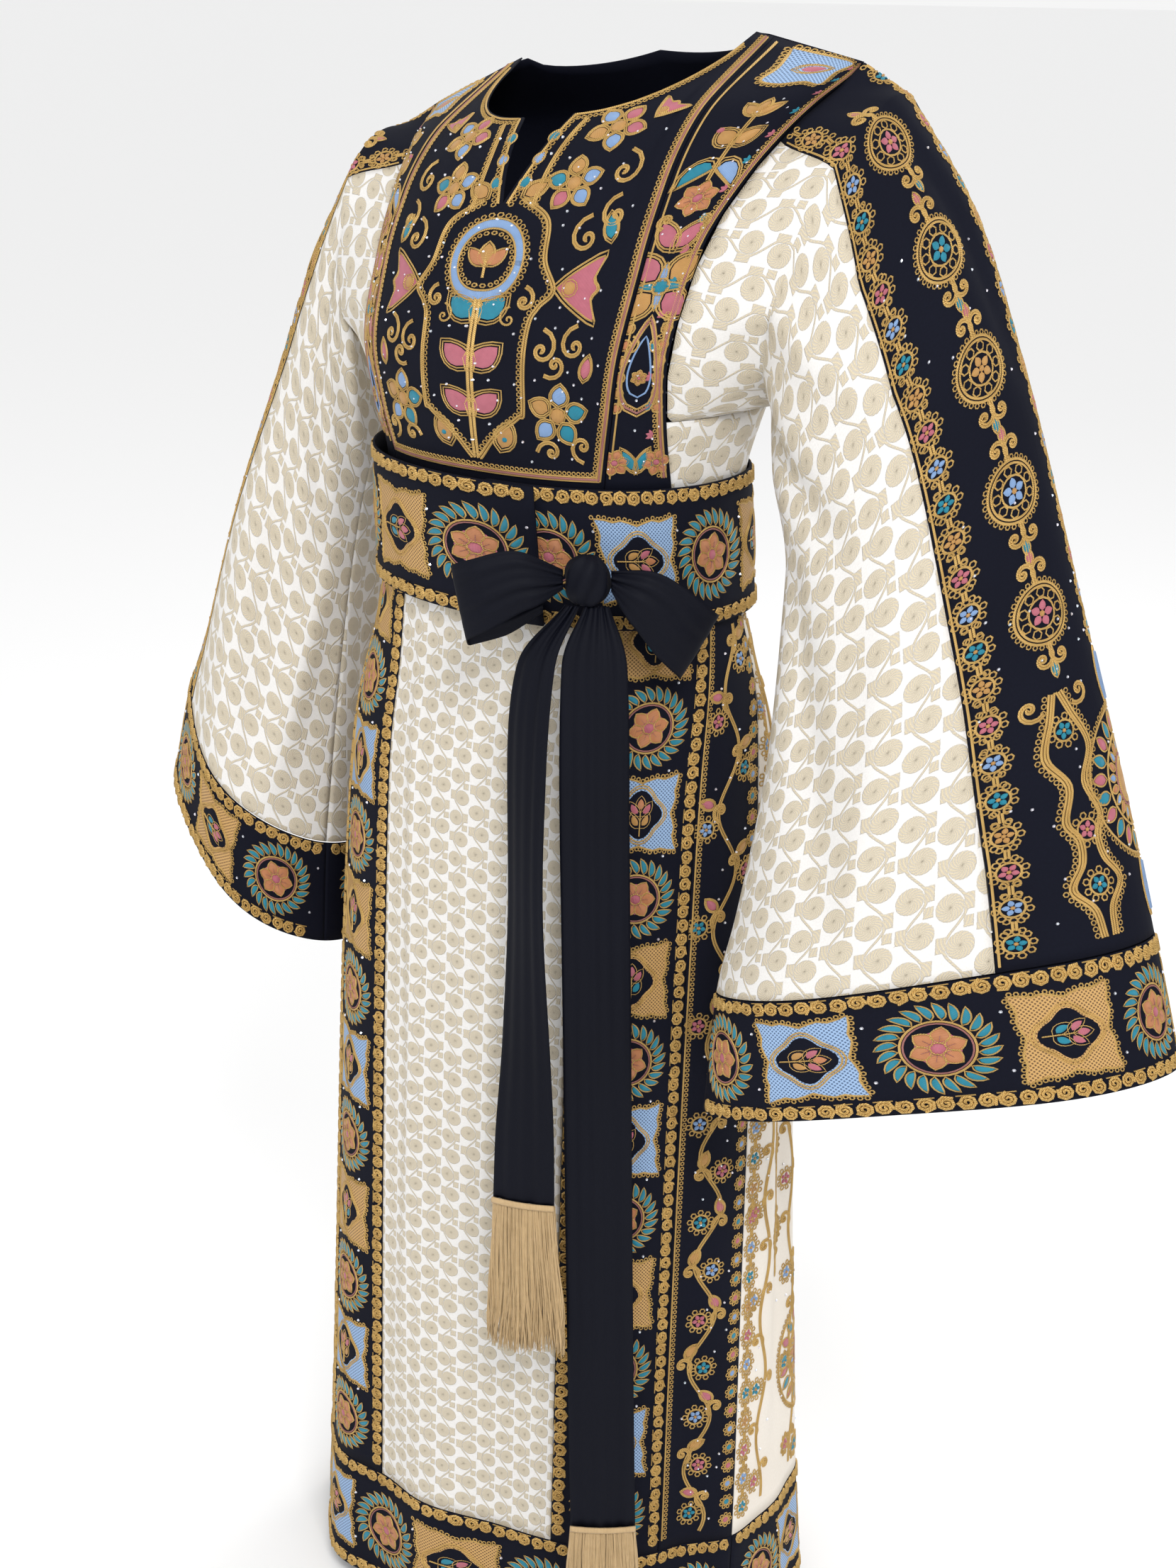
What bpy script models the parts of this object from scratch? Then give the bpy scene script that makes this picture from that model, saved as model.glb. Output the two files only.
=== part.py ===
"""A worn thobe: bodice, skirt panels, bell sleeves with cuffs, belt, and a sash tied in a bow.

Metres, +Z up. The front faces -Y and the wearer's left is +X. The origin lies between the
shoulders, where the wearer carries the garment.
"""

import math

import bmesh
import bpy
import numpy as np
from mathutils import Vector

GARMENT = "thobe"

# Cloth and seams
CLOTH = 0.0016
BELT_THICK = 0.0030
SASH_THICK = 0.0014
SEAM = 0.0007
SEAM_RADIUS = 0.18
ARMHOLE_GAP = 0.0012
SHOULDER_GAP = 0.0016
HEM_SEAM = 0.0018

# The body of the garment, one row a level, from the hem to the shoulder line.
# z_drop is how far the front and back middles lie above the sides.
BODY_COLUMNS = ("z", "middle_x", "side_y", "half_width", "front", "back", "power", "z_drop", "tilt")
BODY_ROWS = (
    (-1.450, -0.057, -0.055, 0.252, 0.172, 0.172, 2.15, 0.000, 0.0),
    (-1.330, -0.055, -0.055, 0.246, 0.167, 0.167, 2.15, 0.000, 0.0),
    (-1.100, -0.052, -0.055, 0.234, 0.160, 0.160, 2.15, 0.000, 0.0),
    (-0.800, -0.048, -0.055, 0.220, 0.148, 0.152, 2.15, 0.000, 0.0),
    (-0.600, -0.045, -0.055, 0.203, 0.137, 0.143, 2.15, 0.000, 0.0),
    (-0.500, -0.042, -0.055, 0.180, 0.124, 0.122, 2.15, 0.000, 0.0),
    (-0.400, -0.040, -0.052, 0.159, 0.120, 0.105, 2.20, 0.000, -2.0),
    (-0.340, -0.037, -0.048, 0.163, 0.137, 0.103, 2.25, 0.000, -1.5),
    (-0.285, -0.033, -0.040, 0.174, 0.160, 0.104, 2.35, 0.000, 0.0),
    (-0.225, -0.026, -0.032, 0.186, 0.178, 0.106, 2.40, 0.003, 1.0),
    (-0.160, -0.016, -0.020, 0.190, 0.181, 0.100, 2.35, 0.005, 3.0),
    (-0.105, -0.008, -0.010, 0.197, 0.170, 0.090, 2.25, 0.004, 5.0),
    (-0.058, -0.002, -0.003, 0.205, 0.130, 0.072, 2.10, 0.010, 6.0),
    (-0.031, 0.000, 0.000, 0.212, 0.002, 0.002, 2.00, 0.071, 6.5),
)
HEM_BAND, HIP, WAIST, ARMPIT, NECK, SHOULDER = 1, 4, 6, 8, 12, 13
NECK_HALF = 0.115
CHEST_TOP_HALF = 0.1309
SHOULDER_HALF = 0.212
NECK_BACK_DEPTH = 0.45
SLIT_HALF = 0.024
SLIT_DEPTH = 1.25

# Vertical seams: the distance round the garment from the middle of the front
PANEL_HALF = 0.100
BAND_WIDTH = 0.105
STRIP_WIDTH = 0.075
STRIP_END_SHARE = 0.56
SIDE_PANEL_END = 0.66
CHEST_COLUMNS = ("level", "chest_half", "strip_end_deg", "back_end_deg")
CHEST_ROWS = (
    (6, 0.098, 66, 114),
    (7, 0.106, 62, 116),
    (8, 0.116, 56, 122),
    (9, 0.124, 52, 124),
    (10, 0.128, 54, 122),
    (11, 0.130, 61, 116),
    (12, 0.131, 73, 105),
    (13, 0.132, 89.0, 91.0),
)

# Soft folds of the skirt: how many round the garment, how deep at the hem, turned by
SKIRT_FOLDS = ((9, 0.0050, 0.4), (14, 0.0028, 1.9), (5, 0.0045, 2.6))

# A sleeve, one row a ring: its highest line, its underarm line and half its depth
SLEEVE_COLUMNS = ("top_x", "top_y", "top_z", "under_x", "under_y", "under_z", "half_depth")
SLEEVE_LEFT = (
    (0.252, 0.000, -0.030, 0.166, -0.045, -0.279, 0.088),
    (0.315, -0.004, -0.115, 0.183, -0.072, -0.335, 0.080),
    (0.368, -0.014, -0.230, 0.208, -0.098, -0.410, 0.068),
    (0.432, -0.034, -0.395, 0.212, -0.128, -0.545, 0.062),
    (0.492, -0.055, -0.550, 0.202, -0.158, -0.680, 0.064),
    (0.530, -0.068, -0.660, 0.195, -0.178, -0.748, 0.068),
    (0.562, -0.076, -0.765, 0.190, -0.188, -0.852, 0.070),
)
SLEEVE_RIGHT = (
    (-0.246, 0.000, -0.075, -0.236, -0.040, -0.279, 0.088),
    (-0.302, 0.005, -0.160, -0.248, -0.052, -0.352, 0.082),
    (-0.346, 0.010, -0.268, -0.262, -0.062, -0.425, 0.080),
    (-0.402, 0.014, -0.408, -0.276, -0.076, -0.552, 0.090),
    (-0.444, 0.016, -0.528, -0.284, -0.088, -0.672, 0.100),
    (-0.466, 0.016, -0.600, -0.288, -0.094, -0.738, 0.108),
    (-0.486, 0.016, -0.695, -0.292, -0.098, -0.840, 0.112),
)
CUFF_RING = 5
SLEEVE_TOP_SHARE = (0.24, 0.34, 0.42, 0.44, 0.42, 0.40, 0.39, 0.39)
SLEEVE_FOLD = 0.007

# The belt wraps once and laps over itself
BELT_UNDER = 0.0042
BELT_OVER = 0.0098
BELT_START = 18.0
BELT_LAP = 14.0
LAP_START = 0.80
LAP_RISE = 0.14
BELT_MIDDLE = (-0.040, -0.052)
BELT_POWER = 2.25
BELT_TILT = -2.0
BELT_COLUMNS = ("z", "half_width", "front", "back")
BELT_RINGS = ((-0.456, 0.1715, 0.126, 0.118), (-0.336, 0.1668, 0.139, 0.112))

# The bow: where its knot lies, and the loops as rows of path points and half widths
KNOT = Vector((0.078, -0.198, -0.408))
KNOT_SIZE = (0.019, 0.013, 0.021)
BOW_OUT = Vector((0.545, -0.839, 0.0))
BOW_SIDE = Vector((0.839, 0.545, 0.0))
LOOP_COLUMNS = ("side", "out", "z", "half_width", "lean")
LOOP_RIGHT_HAND = (
    (-0.0196, 0.001, 0.001, 0.008, 0.0),
    (-0.050, 0.016, 0.004, 0.024, -0.004),
    (-0.082, 0.018, -0.006, 0.030, -0.006),
    (-0.104, 0.006, -0.018, 0.032, -0.006),
    (-0.100, -0.008, -0.026, 0.031, -0.004),
    (-0.070, -0.010, -0.024, 0.026, 0.0),
    (-0.036, -0.008, -0.014, 0.015, 0.0),
)
LOOP_LEFT_HAND = (
    (0.0196, 0.001, 0.000, 0.008, 0.0),
    (0.046, 0.014, -0.012, 0.024, 0.010),
    (0.072, 0.010, -0.036, 0.030, 0.016),
    (0.092, -0.006, -0.058, 0.031, 0.018),
    (0.090, -0.024, -0.062, 0.030, 0.016),
    (0.066, -0.026, -0.040, 0.025, 0.010),
    (0.038, -0.012, -0.016, 0.014, 0.0),
)

# The sash ends: height, place across the view, distance out, half width and twist in degrees
TAIL_COLUMNS = ("z", "side", "out", "half_width", "twist")
TAIL_LONG = (
    (-0.4295, 0.008, 0.000, 0.010, 0),
    (-0.480, 0.006, 0.012, 0.027, 4),
    (-0.580, 0.006, 0.018, 0.029, 0),
    (-0.760, 0.008, 0.030, 0.029, -3),
    (-0.960, 0.010, 0.040, 0.029, 2),
    (-1.130, 0.012, 0.048, 0.029, 0),
    (-1.268, 0.014, 0.056, 0.029, 0),
)
TAIL_SHORT = (
    (-0.4285, -0.012, 0.000, 0.006, 0),
    (-0.480, -0.042, 0.002, 0.017, 24),
    (-0.560, -0.050, 0.008, 0.022, 42),
    (-0.680, -0.052, 0.018, 0.024, 52),
    (-0.800, -0.052, 0.026, 0.026, 40),
    (-0.900, -0.054, 0.034, 0.028, 24),
    (-0.952, -0.055, 0.037, 0.028, 18),
)
TASSEL_STRANDS = 22
TASSEL_LENGTH = 0.140
TASSEL_STRIP = 0.006
TASSEL_GAP = 0.0004
TASSEL_THICK = 0.0036
TASSEL_SPREAD = 1.18

COLOURS = {
    "navy_crepe": ((0.006, 0.008, 0.020, 1.0), 0.72),
    "cream_brocade": ((0.74, 0.68, 0.57, 1.0), 0.55),
    "cream_crepe": ((0.72, 0.66, 0.56, 1.0), 0.60),
    "black_ribbon": ((0.004, 0.005, 0.012, 1.0), 0.55),
    "gold_fringe": ((0.56, 0.40, 0.19, 1.0), 0.45),
}


def clear_scene():
    for item in list(bpy.data.objects):
        bpy.data.objects.remove(item, do_unlink=True)


def material(name):
    found = bpy.data.materials.get(name)
    if found is None:
        colour, roughness = COLOURS[name]
        found = bpy.data.materials.new(name)
        found.use_nodes = True
        shader = found.node_tree.nodes["Principled BSDF"]
        shader.inputs["Base Color"].default_value = colour
        shader.inputs["Roughness"].default_value = roughness
        shader.inputs["Metallic"].default_value = 0.0
    return found


def smooth_rows(rows, at):
    """The table's values at a level between rows, on a curve that never overshoots a row."""
    table = np.asarray(rows, dtype=float)
    last = len(table) - 1
    index = int(min(max(math.floor(at), 0), last - 1))
    step = at - index
    change = np.diff(table, axis=0)

    def slope(row):
        if row == 0 or row == last:
            return change[min(row, last - 1)]
        before, after = change[row - 1], change[row]
        same = before * after > 0
        mean = np.where(same, 2 * before * after / np.where(same, before + after, 1.0), 0.0)
        return mean

    start, end = table[index], table[index + 1]
    s2, s3 = step * step, step * step * step
    return (
        (2 * s3 - 3 * s2 + 1) * start
        + (s3 - 2 * s2 + step) * slope(index)
        + (-2 * s3 + 3 * s2) * end
        + (s3 - s2) * slope(index + 1)
    )


def fold_depth(turn, level):
    """How far the skirt stands out at this place for its soft folds."""
    fall = max(0.0, min(1.0, (HIP + 0.6 - level) / (HIP + 0.6)))
    return fall * sum(depth * math.cos(count * turn + shift) for count, depth, shift in SKIRT_FOLDS)


def body_point(degrees, level, out=0.0):
    """A point of the garment's outer face. 0 degrees is the front, 90 the wearer's left side."""
    row = dict(zip(BODY_COLUMNS, smooth_rows(BODY_ROWS, level)))
    turn = math.radians(degrees)
    across, along = math.sin(turn), math.cos(turn)
    reach = 2.0 / row["power"]
    depth = row["front"] if along > 0 else row["back"]
    bend = abs(across) ** reach
    away = out + fold_depth(turn, level)
    x = (row["half_width"] + away) * math.copysign(bend, across)
    y = row["side_y"] - (depth + away) * math.copysign(abs(along) ** reach, along)
    y -= math.copysign(SHOULDER_GAP * max(0.0, level - NECK), along)
    z = row["z"] + row["z_drop"] * (1.0 - bend)
    z += x * math.tan(math.radians(row["tilt"]))
    return Vector((row["middle_x"] + x, y, z))


def degrees_at(arc, level):
    """The angle reached by going this far round the garment from the front middle."""
    steps = 120
    gone, before = 0.0, body_point(0, level)
    for step in range(1, steps + 1):
        angle = 180.0 * step / steps
        here = body_point(angle, level)
        piece = (here - before).length
        if gone + piece >= arc:
            return angle - (180.0 / steps) * (1.0 - (arc - gone) / piece)
        gone, before = gone + piece, here
    return 180.0


def half_round(level):
    """The distance from the front middle to the back middle at this level."""
    ring = [body_point(3.0 * step, level) for step in range(61)]
    return sum((b - a).length for a, b in zip(ring, ring[1:]))


def grid_object(name, rows, thickness, slot, closed=False):
    """An open sheet of points, rows of equal length, made into a wall of cloth."""
    wide = len(rows[0])
    points = [tuple(point) for row in rows for point in row]
    faces = []
    for up in range(len(rows) - 1):
        for across in range(wide if closed else wide - 1):
            right = (across + 1) % wide
            low, high = up * wide, (up + 1) * wide
            faces.append((low + across, low + right, high + right, high + across))
    mesh = bpy.data.meshes.new(name)
    mesh.from_pydata(points, [], faces)
    mesh.validate()
    thing = bpy.data.objects.new(name, mesh)
    collection.objects.link(thing)
    mesh.materials.append(material(slot))
    mesh.shade_smooth()
    mesh.set_sharp_from_angle(angle=math.radians(50))
    wall = thing.modifiers.new("wall", "SOLIDIFY")
    wall.thickness = thickness
    wall.offset = -1.0
    wall.use_even_offset = False
    return thing


def spread(start, end, count):
    return [start + (end - start) * step / (count - 1) for step in range(count)]


def body_panel(name, slot, levels, left, right, columns):
    """A panel between two seams, each a function from level to degrees."""
    rows = []
    for level in levels:
        start, end = left(level), right(level)
        gap = math.degrees(SEAM / 2 / SEAM_RADIUS)
        row = [body_point(angle, level) for angle in spread(start + gap, end - gap, columns)]
        rows.append(row)
    return grid_object(name, rows, CLOTH, slot)


def seam_arc(arc):
    return lambda level: degrees_at(arc, level)


def flipped(seam):
    return lambda level: -seam(level)


def back_seam(level):
    return degrees_at(SIDE_PANEL_END * half_round(level), level)


def skirt_strip_seam(level):
    """The dark strips narrow towards the waist, where less cloth goes round."""
    widest = PANEL_HALF + BAND_WIDTH + STRIP_WIDTH
    return degrees_at(min(widest, STRIP_END_SHARE * half_round(level)), level)


def chest_row(level):
    return dict(zip(CHEST_COLUMNS, smooth_rows(CHEST_ROWS, level - CHEST_ROWS[0][0])))


def chest_seam(level):
    if level <= WAIST:
        return degrees_at(PANEL_HALF, level)
    row = dict(zip(BODY_COLUMNS, smooth_rows(BODY_ROWS, level)))
    share = min(1.0, chest_row(level)["chest_half"] / row["half_width"])
    return math.degrees(math.asin(share ** (row["power"] / 2.0)))


def strip_seam(level):
    return chest_row(max(level, WAIST))["strip_end_deg"]


def underarm_seam(level):
    return chest_row(max(level, WAIST))["back_end_deg"]


def neck_top(x, depth):
    """The level where a column at this distance from the middle meets the neckline."""
    share = min(1.0, abs(x) / NECK_HALF)
    return SHOULDER - (SHOULDER - NECK) * depth * math.sqrt(max(0.0, 1.0 - share ** 2.3))


def front_top(x):
    top = neck_top(x, 1.0)
    if abs(x) < SLIT_HALF:
        top -= SLIT_DEPTH * (1.0 - abs(x) / SLIT_HALF)
    return top


def back_top(x):
    return neck_top(x, NECK_BACK_DEPTH)


def chest_columns():
    """Places across the chest: close together at the slit, wider beyond it."""
    inner = [0.0, SLIT_HALF / 2, SLIT_HALF, 0.045, 0.070, 0.090, 0.104, NECK_HALF]
    half = inner + [CHEST_TOP_HALF]
    return [-x for x in reversed(half[1:])] + half


def bodice_levels():
    """The rows that every bodice piece shares, from the waist seam to the shoulder."""
    return spread(WAIST + SEAM, ARMPIT, 4) + spread(ARMPIT, SHOULDER, 9)[1:]


def squeezed(level, top):
    """A bodice row moved down in step, where its column ends at a lower top."""
    bottom = WAIST + SEAM
    return bottom + (top - bottom) * (level - bottom) / (SHOULDER - bottom)


def make_chest():
    columns = chest_columns()
    widest = columns[-1]
    rows = []
    for base in bodice_levels():
        row = []
        for x in columns:
            top = front_top(x) if abs(x) < NECK_HALF else SHOULDER
            level = squeezed(base, top)
            limit = chest_seam(level) - math.degrees(SEAM / 2 / SEAM_RADIUS)
            angle = degrees_for_share(abs(x) / widest, limit, level)
            row.append(body_point(math.copysign(angle, x), level))
        rows.append(row)
    return grid_object("chest_panel", rows, CLOTH, "navy_crepe")


def degrees_for_share(share, limit, level):
    """The angle whose x is this share of the x at the limit."""
    row = dict(zip(BODY_COLUMNS, smooth_rows(BODY_ROWS, level)))
    power = row["power"] / 2.0
    edge = math.sin(math.radians(limit)) ** (1.0 / power)
    return math.degrees(math.asin(min(1.0, (share * edge) ** power)))


def make_back():
    shares = (0.0, 0.12, 0.24, 0.36, 0.46, 0.535, 0.64, 0.76, 0.88, 1.0)
    signed = [-s for s in reversed(shares[1:])] + list(shares)
    rows = []
    for base in bodice_levels():
        row = []
        for share in reversed(signed):
            level = squeezed(base, back_top(abs(share) * SHOULDER_HALF))
            limit = 180.0 - underarm_seam(level) - math.degrees(SEAM / 2 / SEAM_RADIUS)
            angle = degrees_for_share(abs(share), limit, level)
            row.append(body_point(180.0 - math.copysign(angle, share), level))
        rows.append(row)
    return grid_object("bodice_back", rows, CLOTH, "navy_crepe")


def make_bodice():
    levels = bodice_levels()
    make_chest()
    body_panel("front_strip_left", "navy_crepe", levels, chest_seam, strip_seam, 6)
    body_panel("front_strip_right", "navy_crepe", levels, flipped(strip_seam), flipped(chest_seam), 6)
    low = levels[:4]
    body_panel("underarm_left", "cream_brocade", low, strip_seam, underarm_seam, 7)
    body_panel("underarm_right", "cream_brocade", low, flipped(underarm_seam), flipped(strip_seam), 7)
    make_back()


def make_skirt():
    top = WAIST - SEAM * 10
    levels = spread(HEM_BAND + HEM_SEAM, top, 10)
    band = seam_arc(PANEL_HALF + BAND_WIDTH)
    strip = skirt_strip_seam
    panel = seam_arc(PANEL_HALF)
    body_panel("skirt_front", "cream_brocade", levels, flipped(panel), panel, 9)
    sides = (("left", lambda a, b: (a, b)), ("right", lambda a, b: (flipped(b), flipped(a))))
    for side, order in sides:
        body_panel("skirt_band_" + side, "navy_crepe", levels, *order(panel, band), 5)
        body_panel("skirt_strip_" + side, "navy_crepe", levels, *order(band, strip), 4)
        body_panel("skirt_side_" + side, "cream_crepe", levels, *order(strip, back_seam), 8)
    rows = []
    gap = math.degrees(SEAM / 2 / SEAM_RADIUS)
    for level in levels:
        start = back_seam(level) + gap
        rows.append([body_point(angle, level) for angle in spread(start, 360.0 - start, 14)])
    grid_object("skirt_back", rows, CLOTH, "cream_brocade")
    hem = spread(0.0, HEM_BAND - HEM_SEAM, 3)
    body_panel("hem_band_front", "navy_crepe", hem, flipped(strip), strip, 18)
    rows = []
    for level in hem:
        start = strip(level) + 2 * gap
        rows.append([body_point(angle, level) for angle in spread(start, 360.0 - start, 30)])
    grid_object("hem_band_back", rows, CLOTH, "navy_crepe")


def armhole(side, count):
    """The armhole as a ring of points from the shoulder down the back and up the front."""
    levels = bodice_levels()[:2:-1]
    back = [body_point(side * underarm_seam(level), level) for level in levels]
    front = [body_point(side * strip_seam(level), level) for level in reversed(levels)]
    under = spread(underarm_seam(ARMPIT), strip_seam(ARMPIT), 7)
    low = [body_point(side * angle, ARMPIT) for angle in under]
    ring = back + low[1:-1] + front
    lengths = [0.0]
    for a, b in zip(ring, ring[1:]):
        lengths.append(lengths[-1] + (b - a).length)
    points = []
    for step in range(count + 1):
        at = lengths[-1] * step / count
        index = next(i for i in range(len(ring) - 1) if lengths[i + 1] >= at - 1e-9)
        share = (at - lengths[index]) / max(lengths[index + 1] - lengths[index], 1e-9)
        points.append(ring[index].lerp(ring[index + 1], share))
    middle = sum(points, Vector()) / len(points)
    outward = Vector((side * ARMHOLE_GAP, 0, 0))
    return [point + (middle - point).normalized() * ARMHOLE_GAP + outward for point in points]


def sleeve_ring(table, at, count):
    """A flattened ring between the top line and the underarm line."""
    row = dict(zip(SLEEVE_COLUMNS, smooth_rows(table, at)))
    top = Vector((row["top_x"], row["top_y"], row["top_z"]))
    under = Vector((row["under_x"], row["under_y"], row["under_z"]))
    up = (top - under) / 2
    rearward = Vector((0, 1, 0))
    deep = (rearward - up * (rearward.dot(up) / up.length_squared)).normalized()
    points = []
    for step in range(count + 1):
        turn = 2 * math.pi * step / count
        fall = min(1.0, at / CUFF_RING)
        ripple = SLEEVE_FOLD * fall * math.sin(3 * turn + 1.1 * at) * abs(math.sin(turn))
        across = row["half_depth"] * math.sin(turn) + ripple
        points.append((top + under) / 2 + up * math.cos(turn) + deep * across)
    return points


def sleeve_rings(table, side, count):
    """The armhole ring, then the rings of the table."""
    rings = [armhole(side, count)]
    for at in spread(0.0, CUFF_RING, 7):
        rings.append(sleeve_ring(table, at, count))
    return rings


def part_of_ring(ring, start, end, count, columns):
    """Points along a closed ring between two shares of its length."""
    out = []
    for share in spread(start, end, columns):
        at = (share % 1.0) * count
        low = int(math.floor(at)) % count
        out.append(ring[low].lerp(ring[(low + 1) % count], at - math.floor(at)))
    return out


def make_sleeve(name, table, side):
    count = 48
    rings = sleeve_rings(table, side, count)
    gap, under_gap = 0.0017, 0.0021
    top_rows, back_rows, front_rows = [], [], []
    for ring, share in zip(rings, SLEEVE_TOP_SHARE):
        half = share / 2
        top_rows.append(part_of_ring(ring, -half + gap, half - gap, count, 11))
        back_rows.append(part_of_ring(ring, half + gap, 0.5 - under_gap, count, 8))
        front_rows.append(part_of_ring(ring, 0.5 + under_gap, 1.0 - half - gap, count, 8))
    for rows, part, slot in (
        (top_rows, "top", "navy_crepe"),
        (back_rows, "back", "cream_brocade"),
        (front_rows, "front", "cream_brocade"),
    ):
        if side > 0:
            rows = [list(reversed(row)) for row in rows]
        grid_object("sleeve_" + part + "_" + name, rows, CLOTH, slot)
    cuff_rows = []
    for at in (CUFF_RING + 0.014, CUFF_RING + 0.5, CUFF_RING + 1.0):
        ring = sleeve_ring(table, at, 30)[:-1]
        cuff_rows.append(list(reversed(ring)) if side > 0 else ring)
    grid_object("cuff_" + name, cuff_rows, CLOTH, "navy_crepe", closed=True)


def make_belt():
    columns = 50
    rows = []
    for up in spread(0.0, 1.0, 3):
        row = []
        for step in range(columns):
            share = step / (columns - 1)
            angle = BELT_START - BELT_LAP + (360.0 + BELT_LAP) * share
            lap = min(1.0, max(0.0, (share - LAP_START) / LAP_RISE))
            row.append(belt_point(angle, up, BELT_UNDER + (BELT_OVER - BELT_UNDER) * lap))
        rows.append(row)
    grid_object("belt", rows, BELT_THICK, "navy_crepe")


def belt_point(degrees, up, out):
    """The stiff belt runs straight from its lower ring to its upper ring."""
    ring = {}
    for column, low, high in zip(BELT_COLUMNS, *BELT_RINGS):
        ring[column] = low + (high - low) * up
    turn = math.radians(degrees)
    across, along = math.sin(turn), math.cos(turn)
    reach = 2.0 / BELT_POWER
    depth = ring["front"] if along > 0 else ring["back"]
    x = (ring["half_width"] + out) * math.copysign(abs(across) ** reach, across)
    y = BELT_MIDDLE[1] - (depth + out) * math.copysign(abs(along) ** reach, along)
    return Vector((BELT_MIDDLE[0] + x, y, ring["z"] + x * math.tan(math.radians(BELT_TILT))))


def strip_object(name, centres, sides, halves, slot, columns=4, cup=0.0):
    """A ribbon: a row of points across each centre."""
    rows = []
    for centre, across, half in zip(centres, sides, halves):
        row = []
        for share in spread(-1.0, 1.0, columns):
            bow = BOW_OUT * cup * (1.0 - share * share)
            row.append(centre + across * half * share + bow)
        rows.append(row)
    return grid_object(name, rows, SASH_THICK, slot)


def bow_frame(side, out, z):
    return KNOT + BOW_SIDE * side + BOW_OUT * out + Vector((0, 0, z))


def make_loop(name, table):
    centres, sides, halves = [], [], []
    for at in spread(0.0, len(table) - 1, 15):
        row = dict(zip(LOOP_COLUMNS, smooth_rows(table, at)))
        centres.append(bow_frame(row["side"], row["out"], row["z"]))
        lean = Vector((0, 0, 1)) + BOW_SIDE * (row["lean"] / row["half_width"])
        sides.append(lean.normalized())
        halves.append(row["half_width"])
    strip_object(name, centres, sides, halves, "black_ribbon", 5, 0.004)


def make_tail(name, table):
    centres, sides, halves = [], [], []
    for at in spread(0.0, len(table) - 1, 15):
        row = dict(zip(TAIL_COLUMNS, smooth_rows(table, at)))
        centre = bow_frame(row["side"], row["out"], row["z"] - KNOT.z)
        centres.append(centre)
        twist = math.radians(row["twist"])
        sides.append(BOW_SIDE * math.cos(twist) + BOW_OUT * math.sin(twist))
        halves.append(row["half_width"])
    strip_object(name, centres, sides, halves, "black_ribbon", 5, 0.003)


def make_knot():
    bpy.ops.mesh.primitive_uv_sphere_add(segments=12, ring_count=8, radius=1.0)
    knot = bpy.context.object
    for point in knot.data.vertices:
        point.co = Vector([along * size for along, size in zip(point.co, KNOT_SIZE)])
    for linked in list(knot.users_collection):
        linked.objects.unlink(knot)
    collection.objects.link(knot)
    knot.name = "bow_knot"
    knot.data.name = "bow_knot"
    knot.rotation_euler = (0, 0, math.atan2(BOW_SIDE.y, BOW_SIDE.x))
    knot.location = KNOT
    knot.data.materials.append(material("black_ribbon"))
    knot.data.shade_smooth()


def make_tassel(name, table):
    """A narrow strip along the sash's end, with strands drawn down from its underside."""
    row = dict(zip(TAIL_COLUMNS, table[-1]))
    twist = math.radians(row["twist"])
    across = BOW_SIDE * math.cos(twist) + BOW_OUT * math.sin(twist)
    out = Vector((across.y, -across.x, 0.0))
    top = bow_frame(row["side"], row["out"], row["z"] - KNOT.z - TASSEL_GAP)
    width = 2 * row["half_width"]
    build = bmesh.new()
    edges = spread(-width / 2, width / 2, TASSEL_STRANDS + 1)
    ring_top, ring_low = [], []
    for x in edges:
        bulge = 0.003 * (1.0 - (2 * x / width) ** 2)
        for depth in (-TASSEL_THICK / 2, TASSEL_THICK / 2):
            place = top + across * x + out * (bulge + depth)
            ring_top.append(build.verts.new(place))
            ring_low.append(build.verts.new(place - Vector((0, 0, TASSEL_STRIP))))
    low_faces = []
    for step in range(TASSEL_STRANDS):
        a, b, c, d = 2 * step, 2 * step + 1, 2 * step + 3, 2 * step + 2
        build.faces.new([ring_top[i] for i in (a, b, c, d)])
        low_faces.append(build.faces.new([ring_low[i] for i in (d, c, b, a)]))
        build.faces.new([ring_top[a], ring_top[d], ring_low[d], ring_low[a]])
        build.faces.new([ring_top[b], ring_low[b], ring_low[c], ring_top[c]])
    for first in (0, 2 * TASSEL_STRANDS):
        ends = [ring_top[first], ring_top[first + 1], ring_low[first + 1], ring_low[first]]
        build.faces.new(ends)
    build.normal_update()
    bmesh.ops.inset_individual(build, faces=low_faces, thickness=0.00035)
    for step, face in enumerate(low_faces):
        share = 2 * (step + 0.5) / TASSEL_STRANDS - 1.0
        length = TASSEL_LENGTH - TASSEL_STRIP + 0.006 * math.sin(2.7 * step)
        for stage in (1, 2):
            made = bmesh.ops.extrude_face_region(build, geom=[face])
            points = [item for item in made["geom"] if isinstance(item, bmesh.types.BMVert)]
            old = face
            face = next(item for item in made["geom"] if isinstance(item, bmesh.types.BMFace))
            build.faces.remove(old)
            sway = 0.003 * math.sin(0.5 * step + stage) * stage
            aside = across * (share * (TASSEL_SPREAD - 1.0) * width / 4 * stage) + out * sway
            bmesh.ops.translate(build, verts=points, vec=aside - Vector((0, 0, length / 2)))
    bmesh.ops.recalc_face_normals(build, faces=build.faces)
    mesh = bpy.data.meshes.new(name)
    build.to_mesh(mesh)
    build.free()
    mesh.materials.append(material("gold_fringe"))
    collection.objects.link(bpy.data.objects.new(name, mesh))


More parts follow.
